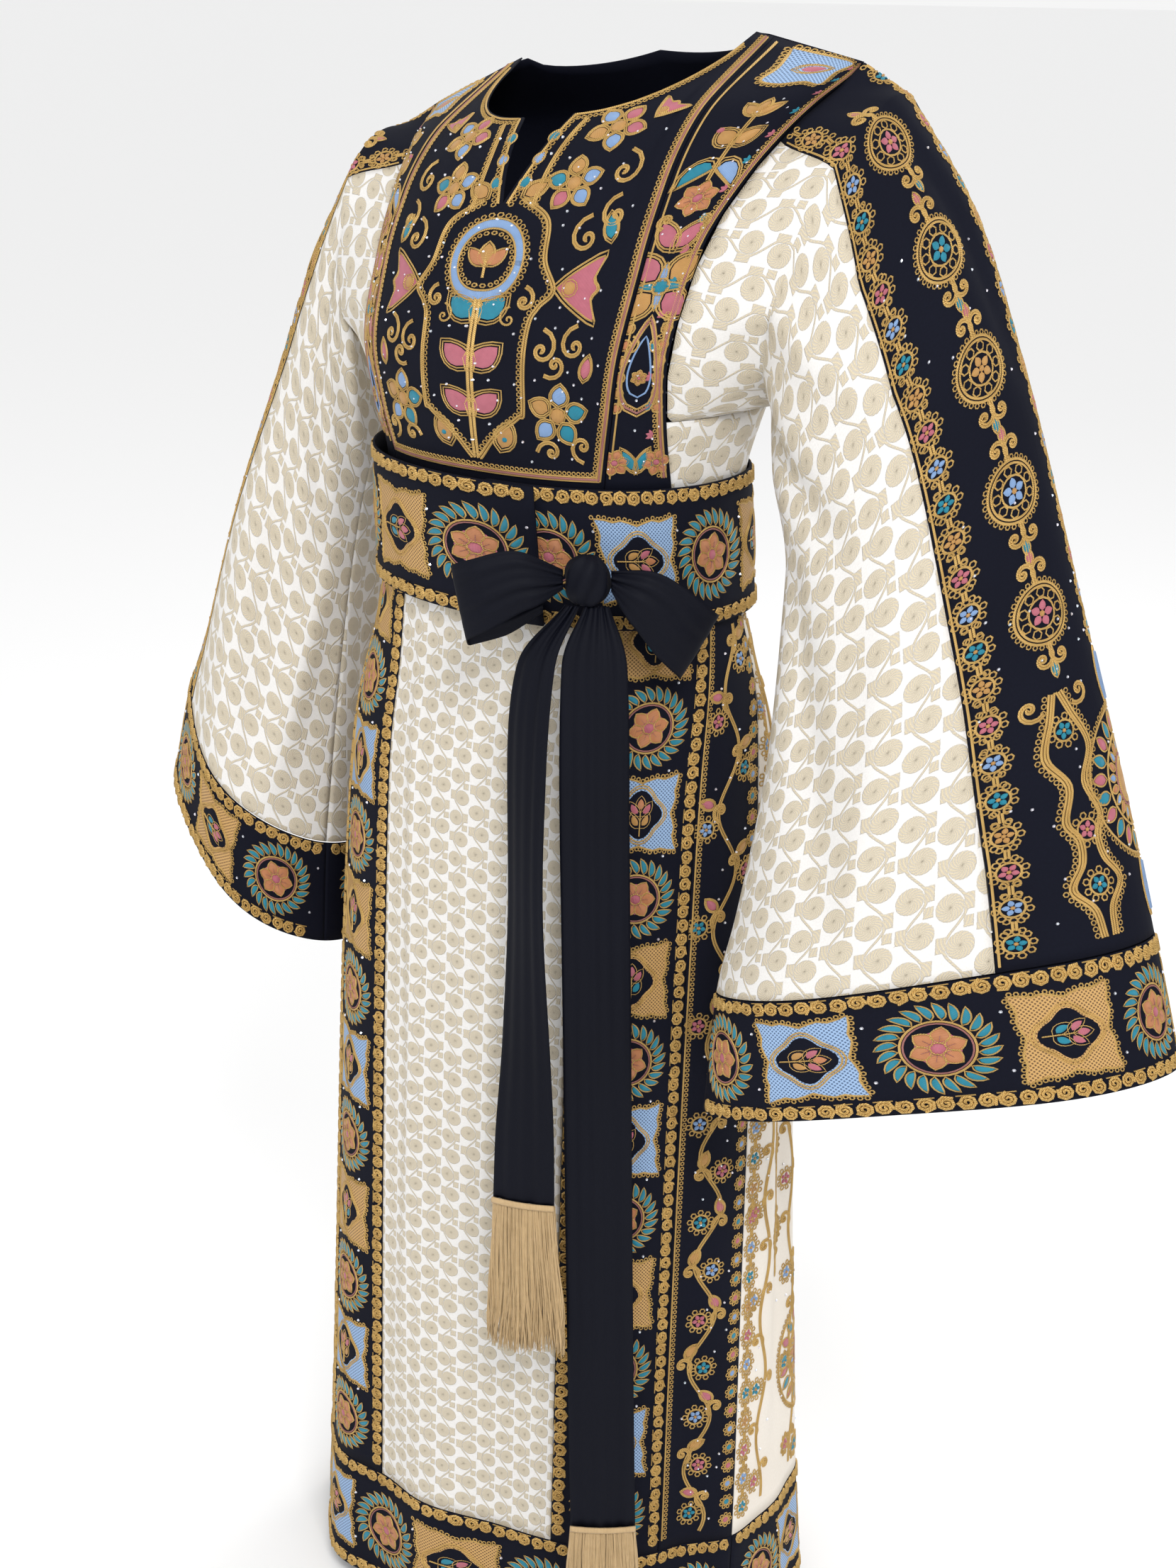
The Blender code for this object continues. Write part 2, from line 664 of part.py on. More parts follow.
clear_scene()
collection = bpy.data.collections.new(GARMENT)
bpy.context.scene.collection.children.link(collection)
make_bodice()
make_skirt()
make_sleeve("left", SLEEVE_LEFT, 1)
make_sleeve("right", SLEEVE_RIGHT, -1)
make_belt()
make_loop("bow_loop_right", LOOP_RIGHT_HAND)
make_loop("bow_loop_left", LOOP_LEFT_HAND)
make_knot()
make_tail("sash_long", TAIL_LONG)
make_tail("sash_short", TAIL_SHORT)
make_tassel("tassel_long", TAIL_LONG)
make_tassel("tassel_short", TAIL_SHORT)
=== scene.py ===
"""The looks of the worn thobe: cloth shells on the frame's panels, and their embroidery."""
import math
from functools import lru_cache

import bpy
import numpy as np
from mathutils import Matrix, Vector


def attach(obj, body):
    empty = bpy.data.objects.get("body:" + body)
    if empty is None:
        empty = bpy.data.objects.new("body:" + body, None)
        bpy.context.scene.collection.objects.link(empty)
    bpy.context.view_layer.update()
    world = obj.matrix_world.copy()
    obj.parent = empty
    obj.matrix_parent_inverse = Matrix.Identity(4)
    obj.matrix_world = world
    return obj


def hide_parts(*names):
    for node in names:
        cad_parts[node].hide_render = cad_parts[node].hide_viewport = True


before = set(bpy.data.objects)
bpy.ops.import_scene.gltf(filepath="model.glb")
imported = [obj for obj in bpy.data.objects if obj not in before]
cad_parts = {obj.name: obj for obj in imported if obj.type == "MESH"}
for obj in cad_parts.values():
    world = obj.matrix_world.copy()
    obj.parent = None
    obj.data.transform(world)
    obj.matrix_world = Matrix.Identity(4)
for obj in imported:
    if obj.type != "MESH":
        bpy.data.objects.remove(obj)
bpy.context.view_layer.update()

# The garment's own form, in metres, as the part's solids have it
CLOTH = 0.0013
SEAM = 0.0007
BODY_COLUMNS = ("z", "middle_x", "side_y", "half_width", "front", "back", "power", "z_drop", "tilt")
BODY_ROWS = (
    (-1.450, -0.057, -0.055, 0.252, 0.172, 0.172, 2.15, 0.000, 0.0),
    (-1.330, -0.055, -0.055, 0.246, 0.167, 0.167, 2.15, 0.000, 0.0),
    (-1.100, -0.052, -0.055, 0.234, 0.160, 0.160, 2.15, 0.000, 0.0),
    (-0.800, -0.048, -0.055, 0.220, 0.148, 0.152, 2.15, 0.000, 0.0),
    (-0.600, -0.045, -0.055, 0.203, 0.137, 0.143, 2.15, 0.000, 0.0),
    (-0.500, -0.042, -0.055, 0.180, 0.124, 0.122, 2.15, 0.000, 0.0),
    (-0.400, -0.040, -0.052, 0.159, 0.120, 0.105, 2.20, 0.000, -2.0),
    (-0.340, -0.037, -0.048, 0.163, 0.137, 0.103, 2.25, 0.000, -1.5),
    (-0.285, -0.033, -0.040, 0.174, 0.160, 0.104, 2.35, 0.000, 0.0),
    (-0.225, -0.026, -0.032, 0.186, 0.178, 0.106, 2.40, 0.003, 1.0),
    (-0.160, -0.016, -0.020, 0.190, 0.181, 0.100, 2.35, 0.005, 3.0),
    (-0.105, -0.008, -0.010, 0.197, 0.170, 0.090, 2.25, 0.004, 5.0),
    (-0.058, -0.002, -0.003, 0.205, 0.130, 0.072, 2.10, 0.010, 6.0),
    (-0.031, 0.000, 0.000, 0.212, 0.002, 0.002, 2.00, 0.071, 6.5),
)
HEM_BAND, HIP, WAIST, ARMPIT, NECK, SHOULDER = 1, 4, 6, 8, 12, 13
NECK_HALF = 0.115
SHOULDER_HALF = 0.212
NECK_BACK_DEPTH = 0.45
SLIT_HALF = 0.024
SLIT_DEPTH = 1.25
SHOULDER_GAP = 0.0016
SEAM_RADIUS = 0.18
SEAM_DEGREES = math.degrees(SEAM / 2 / SEAM_RADIUS)
CHEST_TOP_HALF = 0.1309
ARMHOLE_GAP = 0.0006
HEM_SEAM = 0.0018
PANEL_HALF = 0.100
BAND_WIDTH = 0.105
STRIP_WIDTH = 0.075
STRIP_END_SHARE = 0.56
SIDE_PANEL_END = 0.66
CHEST_ROWS = (
    (6, 0.098, 66, 114),
    (7, 0.106, 62, 116),
    (8, 0.116, 56, 122),
    (9, 0.124, 52, 124),
    (10, 0.128, 54, 122),
    (11, 0.130, 61, 116),
    (12, 0.131, 73, 105),
    (13, 0.132, 89.0, 91.0),
)
SKIRT_FOLDS = ((9, 0.0050, 0.4), (14, 0.0028, 1.9), (5, 0.0045, 2.6))
SLEEVE_LEFT = (
    (0.252, 0.000, -0.030, 0.166, -0.045, -0.279, 0.088),
    (0.315, -0.004, -0.115, 0.183, -0.072, -0.335, 0.080),
    (0.368, -0.014, -0.230, 0.208, -0.098, -0.410, 0.068),
    (0.432, -0.034, -0.395, 0.212, -0.128, -0.545, 0.062),
    (0.492, -0.055, -0.550, 0.202, -0.158, -0.680, 0.064),
    (0.530, -0.068, -0.660, 0.195, -0.178, -0.748, 0.068),
    (0.562, -0.076, -0.765, 0.190, -0.188, -0.852, 0.070),
)
SLEEVE_RIGHT = (
    (-0.246, 0.000, -0.075, -0.236, -0.040, -0.279, 0.088),
    (-0.302, 0.005, -0.160, -0.248, -0.052, -0.352, 0.082),
    (-0.346, 0.010, -0.268, -0.262, -0.062, -0.425, 0.080),
    (-0.402, 0.014, -0.408, -0.276, -0.076, -0.552, 0.090),
    (-0.444, 0.016, -0.528, -0.284, -0.088, -0.672, 0.100),
    (-0.466, 0.016, -0.600, -0.288, -0.094, -0.738, 0.108),
    (-0.486, 0.016, -0.695, -0.292, -0.098, -0.840, 0.112),
)
CUFF_RING = 5
SLEEVE_TOP_SHARE = (0.24, 0.34, 0.42, 0.44, 0.42, 0.40, 0.39, 0.39)
SLEEVE_FOLD = 0.007
SLEEVE_POINTS = 192
BELT_UNDER, BELT_OVER, BELT_START, BELT_LAP = 0.0042, 0.0098, 18.0, 14.0
LAP_START, LAP_RISE = 0.80, 0.14
BELT_THICKNESS = 0.0024
RIBBON_THICKNESS = 0.0009
BELT_MIDDLE = (-0.040, -0.052)
BELT_POWER = 2.25
BELT_TILT = -2.0
BELT_RINGS = ((-0.456, 0.1715, 0.126, 0.118), (-0.336, 0.1668, 0.139, 0.112))
KNOT = Vector((0.078, -0.198, -0.408))
BOW_OUT = Vector((0.545, -0.839, 0.0))
BOW_SIDE = Vector((0.839, 0.545, 0.0))


def smooth_rows(rows, at):
    """The table's values between rows, on a curve that never overshoots a row."""
    table = np.asarray(rows, dtype=float)
    last = len(table) - 1
    index = int(min(max(math.floor(at), 0), last - 1))
    step = at - index
    change = np.diff(table, axis=0)

    def slope(row):
        if row == 0 or row == last:
            return change[min(row, last - 1)]
        before, after = change[row - 1], change[row]
        same = before * after > 0
        return np.where(same, 2 * before * after / np.where(same, before + after, 1.0), 0.0)

    s2, s3 = step * step, step ** 3
    return (
        (2 * s3 - 3 * s2 + 1) * table[index]
        + (s3 - 2 * s2 + step) * slope(index)
        + (-2 * s3 + 3 * s2) * table[index + 1]
        + (s3 - s2) * slope(index + 1)
    )


@lru_cache(maxsize=None)
def body_row(level):
    return dict(zip(BODY_COLUMNS, (float(value) for value in smooth_rows(BODY_ROWS, level))))


@lru_cache(maxsize=None)
def chest_row(level):
    return [float(value) for value in smooth_rows(CHEST_ROWS, level - WAIST)]


def spread(start, end, count):
    return [start + (end - start) * step / (count - 1) for step in range(count)]


def body_point(degrees, level, out=0.0):
    row = body_row(level)
    turn = math.radians(degrees)
    across, along = math.sin(turn), math.cos(turn)
    reach = 2.0 / row["power"]
    fall = max(0.0, min(1.0, (HIP + 0.6 - level) / (HIP + 0.6)))
    fold = fall * sum(depth * math.cos(count * turn + shift) for count, depth, shift in SKIRT_FOLDS)
    depth = row["front"] if along > 0 else row["back"]
    bend = abs(across) ** reach
    away = out + fold
    x = (row["half_width"] + away) * math.copysign(bend, across)
    y = row["side_y"] - (depth + away) * math.copysign(abs(along) ** reach, along)
    y -= math.copysign(SHOULDER_GAP * max(0.0, level - NECK), along)
    z = row["z"] + row["z_drop"] * (1.0 - bend) + x * math.tan(math.radians(row["tilt"]))
    return (row["middle_x"] + x, y, z)


@lru_cache(maxsize=None)
def ring_lengths(level):
    ring = np.array([body_point(1.5 * step, level) for step in range(121)])
    return np.concatenate([[0.0], np.cumsum(np.linalg.norm(np.diff(ring, axis=0), axis=1))])


def degrees_at(arc, level):
    return float(np.interp(arc, ring_lengths(level), np.arange(121) * 1.5))


def half_round(level):
    return float(ring_lengths(level)[-1])


def seam_arc(arc):
    return lambda level: degrees_at(arc, level)


def flipped(seam):
    return lambda level: -seam(level)


def back_seam(level):
    return degrees_at(SIDE_PANEL_END * half_round(level), level)


def strip_seam(level):
    widest = PANEL_HALF + BAND_WIDTH + STRIP_WIDTH
    return degrees_at(min(widest, STRIP_END_SHARE * half_round(level)), level)


def chest_seam(level):
    row = body_row(level)
    share = min(1.0, chest_row(max(level, WAIST))[1] / row["half_width"])
    return math.degrees(math.asin(share ** (row["power"] / 2.0)))


def arm_front(level):
    return chest_row(max(level, WAIST))[2]


def arm_back(level):
    return chest_row(max(level, WAIST))[3]


def bodice_levels(low, high):
    return spread(WAIST + SEAM, ARMPIT, low) + spread(ARMPIT, SHOULDER, high)[1:]


def squeezed(level, top):
    bottom = WAIST + SEAM
    return bottom + (top - bottom) * (level - bottom) / (SHOULDER - bottom)


def neck_top(x, depth):
    share = min(1.0, abs(x) / NECK_HALF)
    return SHOULDER - (SHOULDER - NECK) * depth * math.sqrt(max(0.0, 1.0 - share ** 2.3))


def front_top(x):
    top = neck_top(x, 1.0)
    if abs(x) < SLIT_HALF:
        top -= SLIT_DEPTH * (1.0 - abs(x) / SLIT_HALF)
    return top


def degrees_for_share(share, limit, level):
    power = body_row(level)["power"] / 2.0
    edge = math.sin(math.radians(limit)) ** (1.0 / power)
    return math.degrees(math.asin(min(1.0, (share * edge) ** power)))


def panel_rows(levels, left, right, columns):
    rows = []
    for level in levels:
        start, end = left(level) + SEAM_DEGREES, right(level) - SEAM_DEGREES
        rows.append([body_point(angle, level) for angle in spread(start, end, columns)])
    return rows


def chest_rows():
    near = spread(0.0, SLIT_HALF, 6) + spread(SLIT_HALF, NECK_HALF, 16)[1:]
    half = near + [0.1228, CHEST_TOP_HALF]
    columns = [-x for x in reversed(half[1:])] + half
    rows = []
    for base in bodice_levels(14, 44):
        row = []
        for x in columns:
            top = front_top(x) if abs(x) < NECK_HALF else SHOULDER
            level = squeezed(base, top)
            limit = chest_seam(level) - SEAM_DEGREES
            angle = degrees_for_share(abs(x) / half[-1], limit, level)
            row.append(body_point(math.copysign(angle, x), level))
        rows.append(row)
    return rows


def back_rows():
    signed = spread(-1.0, 1.0, 49)
    rows = []
    for base in bodice_levels(14, 44):
        row = []
        for share in reversed(signed):
            level = squeezed(base, neck_top(abs(share) * SHOULDER_HALF, NECK_BACK_DEPTH))
            limit = 180.0 - arm_back(level) - SEAM_DEGREES
            angle = degrees_for_share(abs(share), limit, level)
            row.append(body_point(180.0 - math.copysign(angle, share), level))
        rows.append(row)
    return rows


def along_ring(points, shares):
    """Points at these shares of a polyline's length."""
    gone = np.concatenate([[0.0], np.cumsum(np.linalg.norm(np.diff(points, axis=0), axis=1))])
    at = np.asarray(shares) * gone[-1]
    return np.stack([np.interp(at, gone, points[:, axis]) for axis in range(3)], axis=1)


def armhole(side, count):
    levels = list(reversed(spread(ARMPIT, SHOULDER, 9)))
    back = [body_point(side * arm_back(level), level) for level in levels]
    front = [body_point(side * arm_front(level), level) for level in reversed(levels)]
    under = spread(arm_back(ARMPIT), arm_front(ARMPIT), 7)
    low = [body_point(side * angle, ARMPIT) for angle in under]
    ring = np.array(back + low[1:-1] + front)
    points = along_ring(ring, np.arange(count + 1) / count)
    inward = points.mean(axis=0) - points
    inward /= np.linalg.norm(inward, axis=1)[:, None]
    return points + inward * ARMHOLE_GAP + np.array([side * ARMHOLE_GAP, 0, 0])


def sleeve_ring(table, at, count):
    row = smooth_rows(table, at)
    top, under, half_depth = row[0:3], row[3:6], row[6]
    up = (top - under) / 2
    rearward = np.array([0.0, 1.0, 0.0])
    deep = rearward - up * (rearward.dot(up) / up.dot(up))
    deep /= np.linalg.norm(deep)
    turn = 2 * math.pi * np.arange(count + 1) / count
    fall = min(1.0, at / CUFF_RING)
    ripple = SLEEVE_FOLD * fall * np.sin(3 * turn + 1.1 * at) * np.abs(np.sin(turn))
    across = half_depth * np.sin(turn) + ripple
    return (top + under) / 2 + np.cos(turn)[:, None] * up + across[:, None] * deep


def sleeve_parts(table, side):
    """The three panels' rows, from the armhole down to the cuff."""
    count = SLEEVE_POINTS
    first = armhole(side, count)
    rings, marks = [first], [0.0]
    start = sleeve_ring(table, 0.0, count)
    for step in spread(0.14, 1.0, 7):
        ease = step * step * (3 - 2 * step) * 0.35 + step * 0.65
        rings.append(first + (start - first) * ease)
        marks.append(step)
    for at in spread(0.0, CUFF_RING, 58)[1:]:
        rings.append(sleeve_ring(table, at, count))
        marks.append(1.0 + at * 6.0 / CUFF_RING)
    gap, under_gap = 0.0004, 0.0005
    parts = {"top": [], "back": [], "front": []}
    for ring, mark in zip(rings, marks):
        half = float(np.interp(mark, range(8), SLEEVE_TOP_SHARE)) / 2
        spans = {
            "top": (-half + gap, half - gap, 31),
            "back": (half + gap, 0.5 - under_gap, 35),
            "front": (0.5 + under_gap, 1.0 - half - gap, 35),
        }
        for name, (begin, end, columns) in spans.items():
            at = (np.array(spread(begin, end, columns)) % 1.0) * count
            low = np.floor(at).astype(int) % count
            part = (at - np.floor(at))[:, None]
            parts[name].append(ring[low] * (1 - part) + ring[(low + 1) % count] * part)
    return parts, rings


def belt_point(degrees, up, out):
    low, high = np.array(BELT_RINGS[0]), np.array(BELT_RINGS[1])
    z, half_width, front, back = low + (high - low) * up
    turn = math.radians(degrees)
    across, along = math.sin(turn), math.cos(turn)
    reach = 2.0 / BELT_POWER
    depth = front if along > 0 else back
    x = (half_width + out) * math.copysign(abs(across) ** reach, across)
    y = BELT_MIDDLE[1] - (depth + out) * math.copysign(abs(along) ** reach, along)
    return (BELT_MIDDLE[0] + x, y, z + x * math.tan(math.radians(BELT_TILT)))


# Materials

class Value:
    """A node's output that takes part in sums, so that a formula makes its own nodes."""

    def __init__(self, tree, socket):
        self.tree, self.socket = tree, socket

    def __add__(self, other):
        return self.tree.math("ADD", self, other)

    def __sub__(self, other):
        return self.tree.math("SUBTRACT", self, other)

    def __rsub__(self, other):
        return self.tree.math("SUBTRACT", other, self)

    def __mul__(self, other):
        return self.tree.math("MULTIPLY", self, other)

    def __truediv__(self, other):
        return self.tree.math("DIVIDE", self, other)

    def __mod__(self, other):
        return self.tree.math("FLOORED_MODULO", self, other)

    def __abs__(self):
        return self.tree.math("ABSOLUTE", self)


class Tree:
    """Builds a material's nodes from short calls."""

    def __init__(self, name, roughness, colour=(0.5, 0.5, 0.5), metallic=0.0, sheen=0.0, specular=0.35):
        self.material = bpy.data.materials.new(name)
        self.material.use_nodes = True
        self.nodes = self.material.node_tree.nodes
        self.links = self.material.node_tree.links
        self.shader = self.nodes["Principled BSDF"]
        for socket, value in (
            ("Roughness", roughness), ("Metallic", metallic), ("Base Color", colour),
            ("Sheen Weight", sheen), ("Specular IOR Level", specular),
        ):
            self.put(self.shader.inputs[socket], value)

    def put(self, socket, value):
        if isinstance(value, Value):
            self.links.new(value.socket, socket)
        else:
            socket.default_value = (*value, 1.0) if isinstance(value, tuple) else value

    def math(self, operation, *values):
        node = self.nodes.new("ShaderNodeMath")
        node.operation = operation
        for socket, value in zip(node.inputs, values):
            self.put(socket, value)
        return Value(self, node.outputs[0])

    def uv(self):
        node = self.nodes.new("ShaderNodeUVMap")
        node.uv_map = "cloth"
        split = self.nodes.new("ShaderNodeSeparateXYZ")
        self.links.new(node.outputs[0], split.inputs[0])
        return [Value(self, socket) for socket in (node.outputs[0], split.outputs[0], split.outputs[1])]

    def object_coords(self):
        return Value(self, self.nodes.new("ShaderNodeTexCoord").outputs["Object"])

    def noise(self, vector, scale, detail=3.0):
        node = self.nodes.new("ShaderNodeTexNoise")
        for socket, value in (("Scale", scale), ("Detail", detail), ("Vector", vector)):
            self.put(node.inputs[socket], value)
        return Value(self, node.outputs[0])

    def mix(self, share, a, b):
        node = self.nodes.new("ShaderNodeMix")
        node.data_type = "RGBA"
        for index, value in ((0, share), (6, a), (7, b)):
            self.put(node.inputs[index], value)
        return Value(self, node.outputs[2])

    def ramp(self, value, low, high):
        node = self.nodes.new("ShaderNodeMapRange")
        for socket, setting in (("From Min", low), ("From Max", high), ("Value", value)):
            self.put(node.inputs[socket], setting)
        return Value(self, node.outputs[0])

    def colour(self, value):
        self.put(self.shader.inputs["Base Color"], value)

    def bump(self, height, distance, strength=0.9):
        node = self.nodes.new("ShaderNodeBump")
        for socket, value in (("Distance", distance), ("Strength", strength), ("Height", height)):
            self.put(node.inputs[socket], value)
        self.links.new(node.outputs[0], self.shader.inputs["Normal"])

    def wave(self, turns):
        """A soft wave from 0 to 1."""
        return self.math("SINE", turns) * 0.5 + 0.5

    def stripe(self, value, per_metre):
        return self.wave(value * (per_metre * 2 * math.pi))


NAVY = (0.0030, 0.0036, 0.0090)


def crepe_material(name, colour, light, roughness=0.8, specular=0.12):
    tree = Tree(name, roughness, specular=specular)
    vector, u, v = tree.uv()
    grain = tree.noise(vector, 420)
    tree.colour(tree.mix(tree.noise(vector, 9) * grain, colour, light))
    tree.bump(tree.stripe(u, 1500) * tree.stripe(v, 1500) + grain, 0.00012, 0.5)
    return tree.material


def brocade_material(name, grow):
    """Cream crepe with a woven repeat: round leaves on a winding stem, square buds between."""
    tree = Tree(name, 0.55, specular=0.3)
    vector, u, v = tree.uv()
    u, v = u / grow, v / grow
    wide, tall = 0.0212, 0.0420
    shift = tree.math("FLOOR", u / wide) % 2.0 * (tall * 0.22)
    x, y = u % wide - wide / 2, (v + shift) % tall
    jitter = tree.noise(vector, 900, 2.0) * 0.0011 - 0.00055
    upper = tree.math("GREATER_THAN", y, tall / 2)
    leaf_x, leaf_y = x + (upper * 0.0060 - 0.0030), y - (upper * 0.0210 + 0.0105)
    far = tree.math("SQRT", leaf_x * leaf_x + leaf_y * leaf_y)
    fan = tree.wave((tree.math("ARCTAN2", leaf_y, leaf_x) + far * 190.0) * 16.0)
    stem_x = tree.math("SINE", y * (2 * math.pi / tall)) * -0.0060 + 0.0002
    shape = tree.math("MAXIMUM", 0.0075 - far + jitter, 0.0009 - abs(x - stem_x))
    for bud_x, bud_y, half_wide, half_tall in (
        (-0.0072, 0.0120, 0.0027, 0.0044),
        (0.0072, 0.0330, 0.0027, 0.0044),
        (0.0070, 0.0226, 0.0026, 0.0030),
    ):
        bud = tree.math("MINIMUM", half_wide - abs(x - bud_x), half_tall - abs(y - bud_y)) + jitter
        shape = tree.math("MAXIMUM", shape, bud)
    mask = tree.ramp(shape, -0.0002, 0.0003)
    # The gold thread's tone is painted light and shade: glints along the stitches' spokes and a fine
    # sparkle, with painted shade between them.
    thread = fan * 0.42 + tree.noise(vector, 1500, 1.0) * 0.612
    gold = tree.mix(thread, (0.185, 0.130, 0.066), (0.80, 0.70, 0.50))
    ground = tree.mix(tree.noise(vector, 700, 2.0), (0.66, 0.64, 0.615), (0.80, 0.785, 0.765))
    tree.colour(tree.mix(mask * (fan * 0.42 + 0.58), ground, gold))
    tree.bump(mask * (thread + 0.8) + tree.stripe(u, 1300) * 0.15, 0.0005)
    return tree.material


def cord_material(name, colour, dark, metallic=0.35, roughness=0.42):
    """Couched cord: two threads twisted; painted light on the ridges and painted shade in the grooves run
    slantwise along it.
    """
    tree = Tree(name, roughness, metallic=metallic)
    vector, u, v = tree.uv()
    twist = tree.stripe(v * 0.0016 + u, 620)
    cloud = tree.noise(tree.object_coords(), 60)
    # Painted light and shade: the dark colour is shade in the twist's grooves, the other colour is light on
    # its ridges.
    tree.colour(tree.mix(twist * 0.55 + cloud * 0.55, dark, colour))
    tree.bump(twist, 0.0004)
    return tree.material


def satin_material(name, colour, dark, roughness=0.45):
    """Satin stitch: fine threads side by side, with painted shade in the lines between them."""
    tree = Tree(name, roughness, sheen=0.1)
    thread = tree.stripe(tree.uv()[1], 1250)
    cloud = tree.noise(tree.object_coords(), 160)
    # Painted shade: the dark colour falls in the lines between the threads; the cloud is the thread's own
    # uneven tone.
    tree.colour(tree.mix(thread * 0.5 + cloud * 0.5, dark, colour))
    tree.bump(thread, 0.00022, 0.8)
    return tree.material


def net_material(name, colour, dark):
    """A tile's ground: threads crossed in a small lattice."""
    tree = Tree(name, 0.5)
    vector, u, v = tree.uv()
    net = 1.0 - tree.stripe(u + v, 300) * tree.stripe(u - v, 300)
    tree.colour(tree.mix(tree.math("POWER", net, 1.5), dark, colour))
    tree.bump(net, 0.0004)
    return tree.material


def gem_material():
    tree = Tree("crystal", 0.08, metallic=0.55)
    cloud = tree.noise(tree.object_coords(), 130)
    tree.colour(tree.mix(cloud, (0.95, 0.75, 0.80), (0.62, 0.85, 0.95)))
    return tree.material


MATERIALS = {
    "navy": crepe_material("navy_crepe", NAVY, (0.0060, 0.0072, 0.0165)),
    "plain": crepe_material("cream_crepe", (0.70, 0.64, 0.56), (0.84, 0.80, 0.74), 0.7),
    "brocade": brocade_material("cream_brocade", 0.90),
    "brocade_large": brocade_material("cream_brocade_sleeve", 1.22),
    "ribbon": crepe_material("black_ribbon", (0.0014, 0.0019, 0.0056), (0.0034, 0.0043, 0.0110), 0.62,
                             0.13),
    # Cords and satins: each second colour is painted shade for the grooves between the threads.
    "gold": cord_material("gold_cord", (0.86, 0.575, 0.200), (0.25, 0.125, 0.022)),
    "pink": cord_material("rose_cord", (0.50, 0.22, 0.20), (0.20, 0.07, 0.07), 0.0, 0.6),
    "rose": satin_material("rose_satin", (0.56, 0.165, 0.215), (0.28, 0.065, 0.095)),
    "teal": satin_material("teal_satin", (0.012, 0.285, 0.40), (0.003, 0.10, 0.155)),
    "sky": satin_material("sky_satin", (0.27, 0.42, 0.68), (0.115, 0.20, 0.38)),
    "tan": satin_material("gold_satin", (0.60, 0.335, 0.105), (0.27, 0.125, 0.028)),
    "peach": satin_material("peach_satin", (0.60, 0.26, 0.115), (0.30, 0.10, 0.035)),
    "blue_net": net_material("blue_net", (0.30, 0.44, 0.66), (0.045, 0.085, 0.17)),
    "gold_net": net_material("gold_net", (0.55, 0.325, 0.115), (0.085, 0.040, 0.010)),
    "gem": gem_material(),
    "fringe": satin_material("gold_fringe", (0.66, 0.47, 0.25), (0.36, 0.23, 0.10), 0.38),
}


def measures(grid):
    """The width of each row, and how far up each row lies."""
    width = np.linalg.norm(np.diff(grid, axis=1), axis=2).sum(axis=1)
    step = np.linalg.norm(np.diff(grid, axis=0), axis=2).mean(axis=1)
    return width, np.concatenate([[0.0], np.cumsum(step)])


class Region:
    """A cloth panel as a grid of points: s runs across from its middle, t up from its foot."""

    def __init__(self, rows, centre=None, creases=(), deeper=1.0):
        grid = np.array([[tuple(p) for p in row] for row in rows], dtype=float)
        normal = self.normals(grid)
        if centre is None:
            centre = np.array([-0.045, -0.052, 0.0])
            inner = np.broadcast_to(centre, grid.shape).copy()
            inner[..., 2] = grid[..., 2]
        else:
            inner = np.broadcast_to(np.array(centre)[:, None, :], grid.shape)
        if (normal * (grid - inner)).sum() < 0:
            grid = grid[:, ::-1]
            normal = self.normals(grid)
        self.grid = grid
        self.normal = normal
        self.measure()
        self.crease(creases, deeper)

    @staticmethod
    def normals(grid):
        across = np.gradient(grid, axis=1)
        up = np.gradient(grid, axis=0)
        normal = np.cross(across, up)
        return normal / np.maximum(np.linalg.norm(normal, axis=2), 1e-12)[..., None]

    def measure(self):
        self.width, self.rise = measures(self.grid)
        self.height = float(self.rise[-1])

    def crease(self, creases, deeper=1.0):
        """Soft troughs and ridges: from (u, v) to (u, v), half width and depth in metres."""
        if not creases:
            return
        rows, columns = self.grid.shape[:2]
        s = (np.arange(columns) / (columns - 1) - 0.5)[None, :] * self.width[:, None]
        t = np.broadcast_to(self.rise[:, None], s.shape)
        change = np.zeros_like(s)
        for u0, v0, u1, v1, half, depth in creases:
            mean = self.width.mean()
            a = np.array([(u0 - 0.5) * mean, v0 * self.height])
            b = np.array([(u1 - 0.5) * mean, v1 * self.height])
            line = b - a
            share = ((s - a[0]) * line[0] + (t - a[1]) * line[1]) / line.dot(line)
            near = np.clip(share, 0, 1)
            far = np.hypot(s - a[0] - near * line[0], t - a[1] - near * line[1])
            fade = np.sin(np.pi * np.clip(0.5 + 0.5 * (share * 2 - 1) * 0.8, 0, 1))
            change += deeper * depth * np.exp(-((far / half) ** 2)) * fade
        edge = np.minimum(np.arange(columns), np.arange(columns)[::-1]) / 3.0
        ends = np.minimum(np.arange(rows), np.arange(rows)[::-1]) / 3.0
        change *= np.clip(edge, 0, 1)[None, :] * np.clip(ends, 0, 1)[:, None]
        self.grid = self.grid + self.normal * change[..., None]
        self.normal = self.normals(self.grid)

    def at(self, places):
        """World points for rows of (s, t, height above the cloth)."""
        rows, columns = self.grid.shape[:2]
        v = np.interp(places[:, 1], self.rise, np.arange(rows))
        width = np.interp(v, np.arange(rows), self.width)
        u = np.clip(places[:, 0] / width + 0.5, 0, 1) * (columns - 1)
        i = np.clip(np.floor(v).astype(int), 0, rows - 2)
        j = np.clip(np.floor(u).astype(int), 0, columns - 2)
        a, b = (v - i)[:, None], (u - j)[:, None]

        def read(field):
            return (
                field[i, j] * (1 - a) * (1 - b)
                + field[i, j + 1] * (1 - a) * b
                + field[i + 1, j] * a * (1 - b)
                + field[i + 1, j + 1] * a * b
            )

        return read(self.grid) + read(self.normal) * places[:, 2:3]


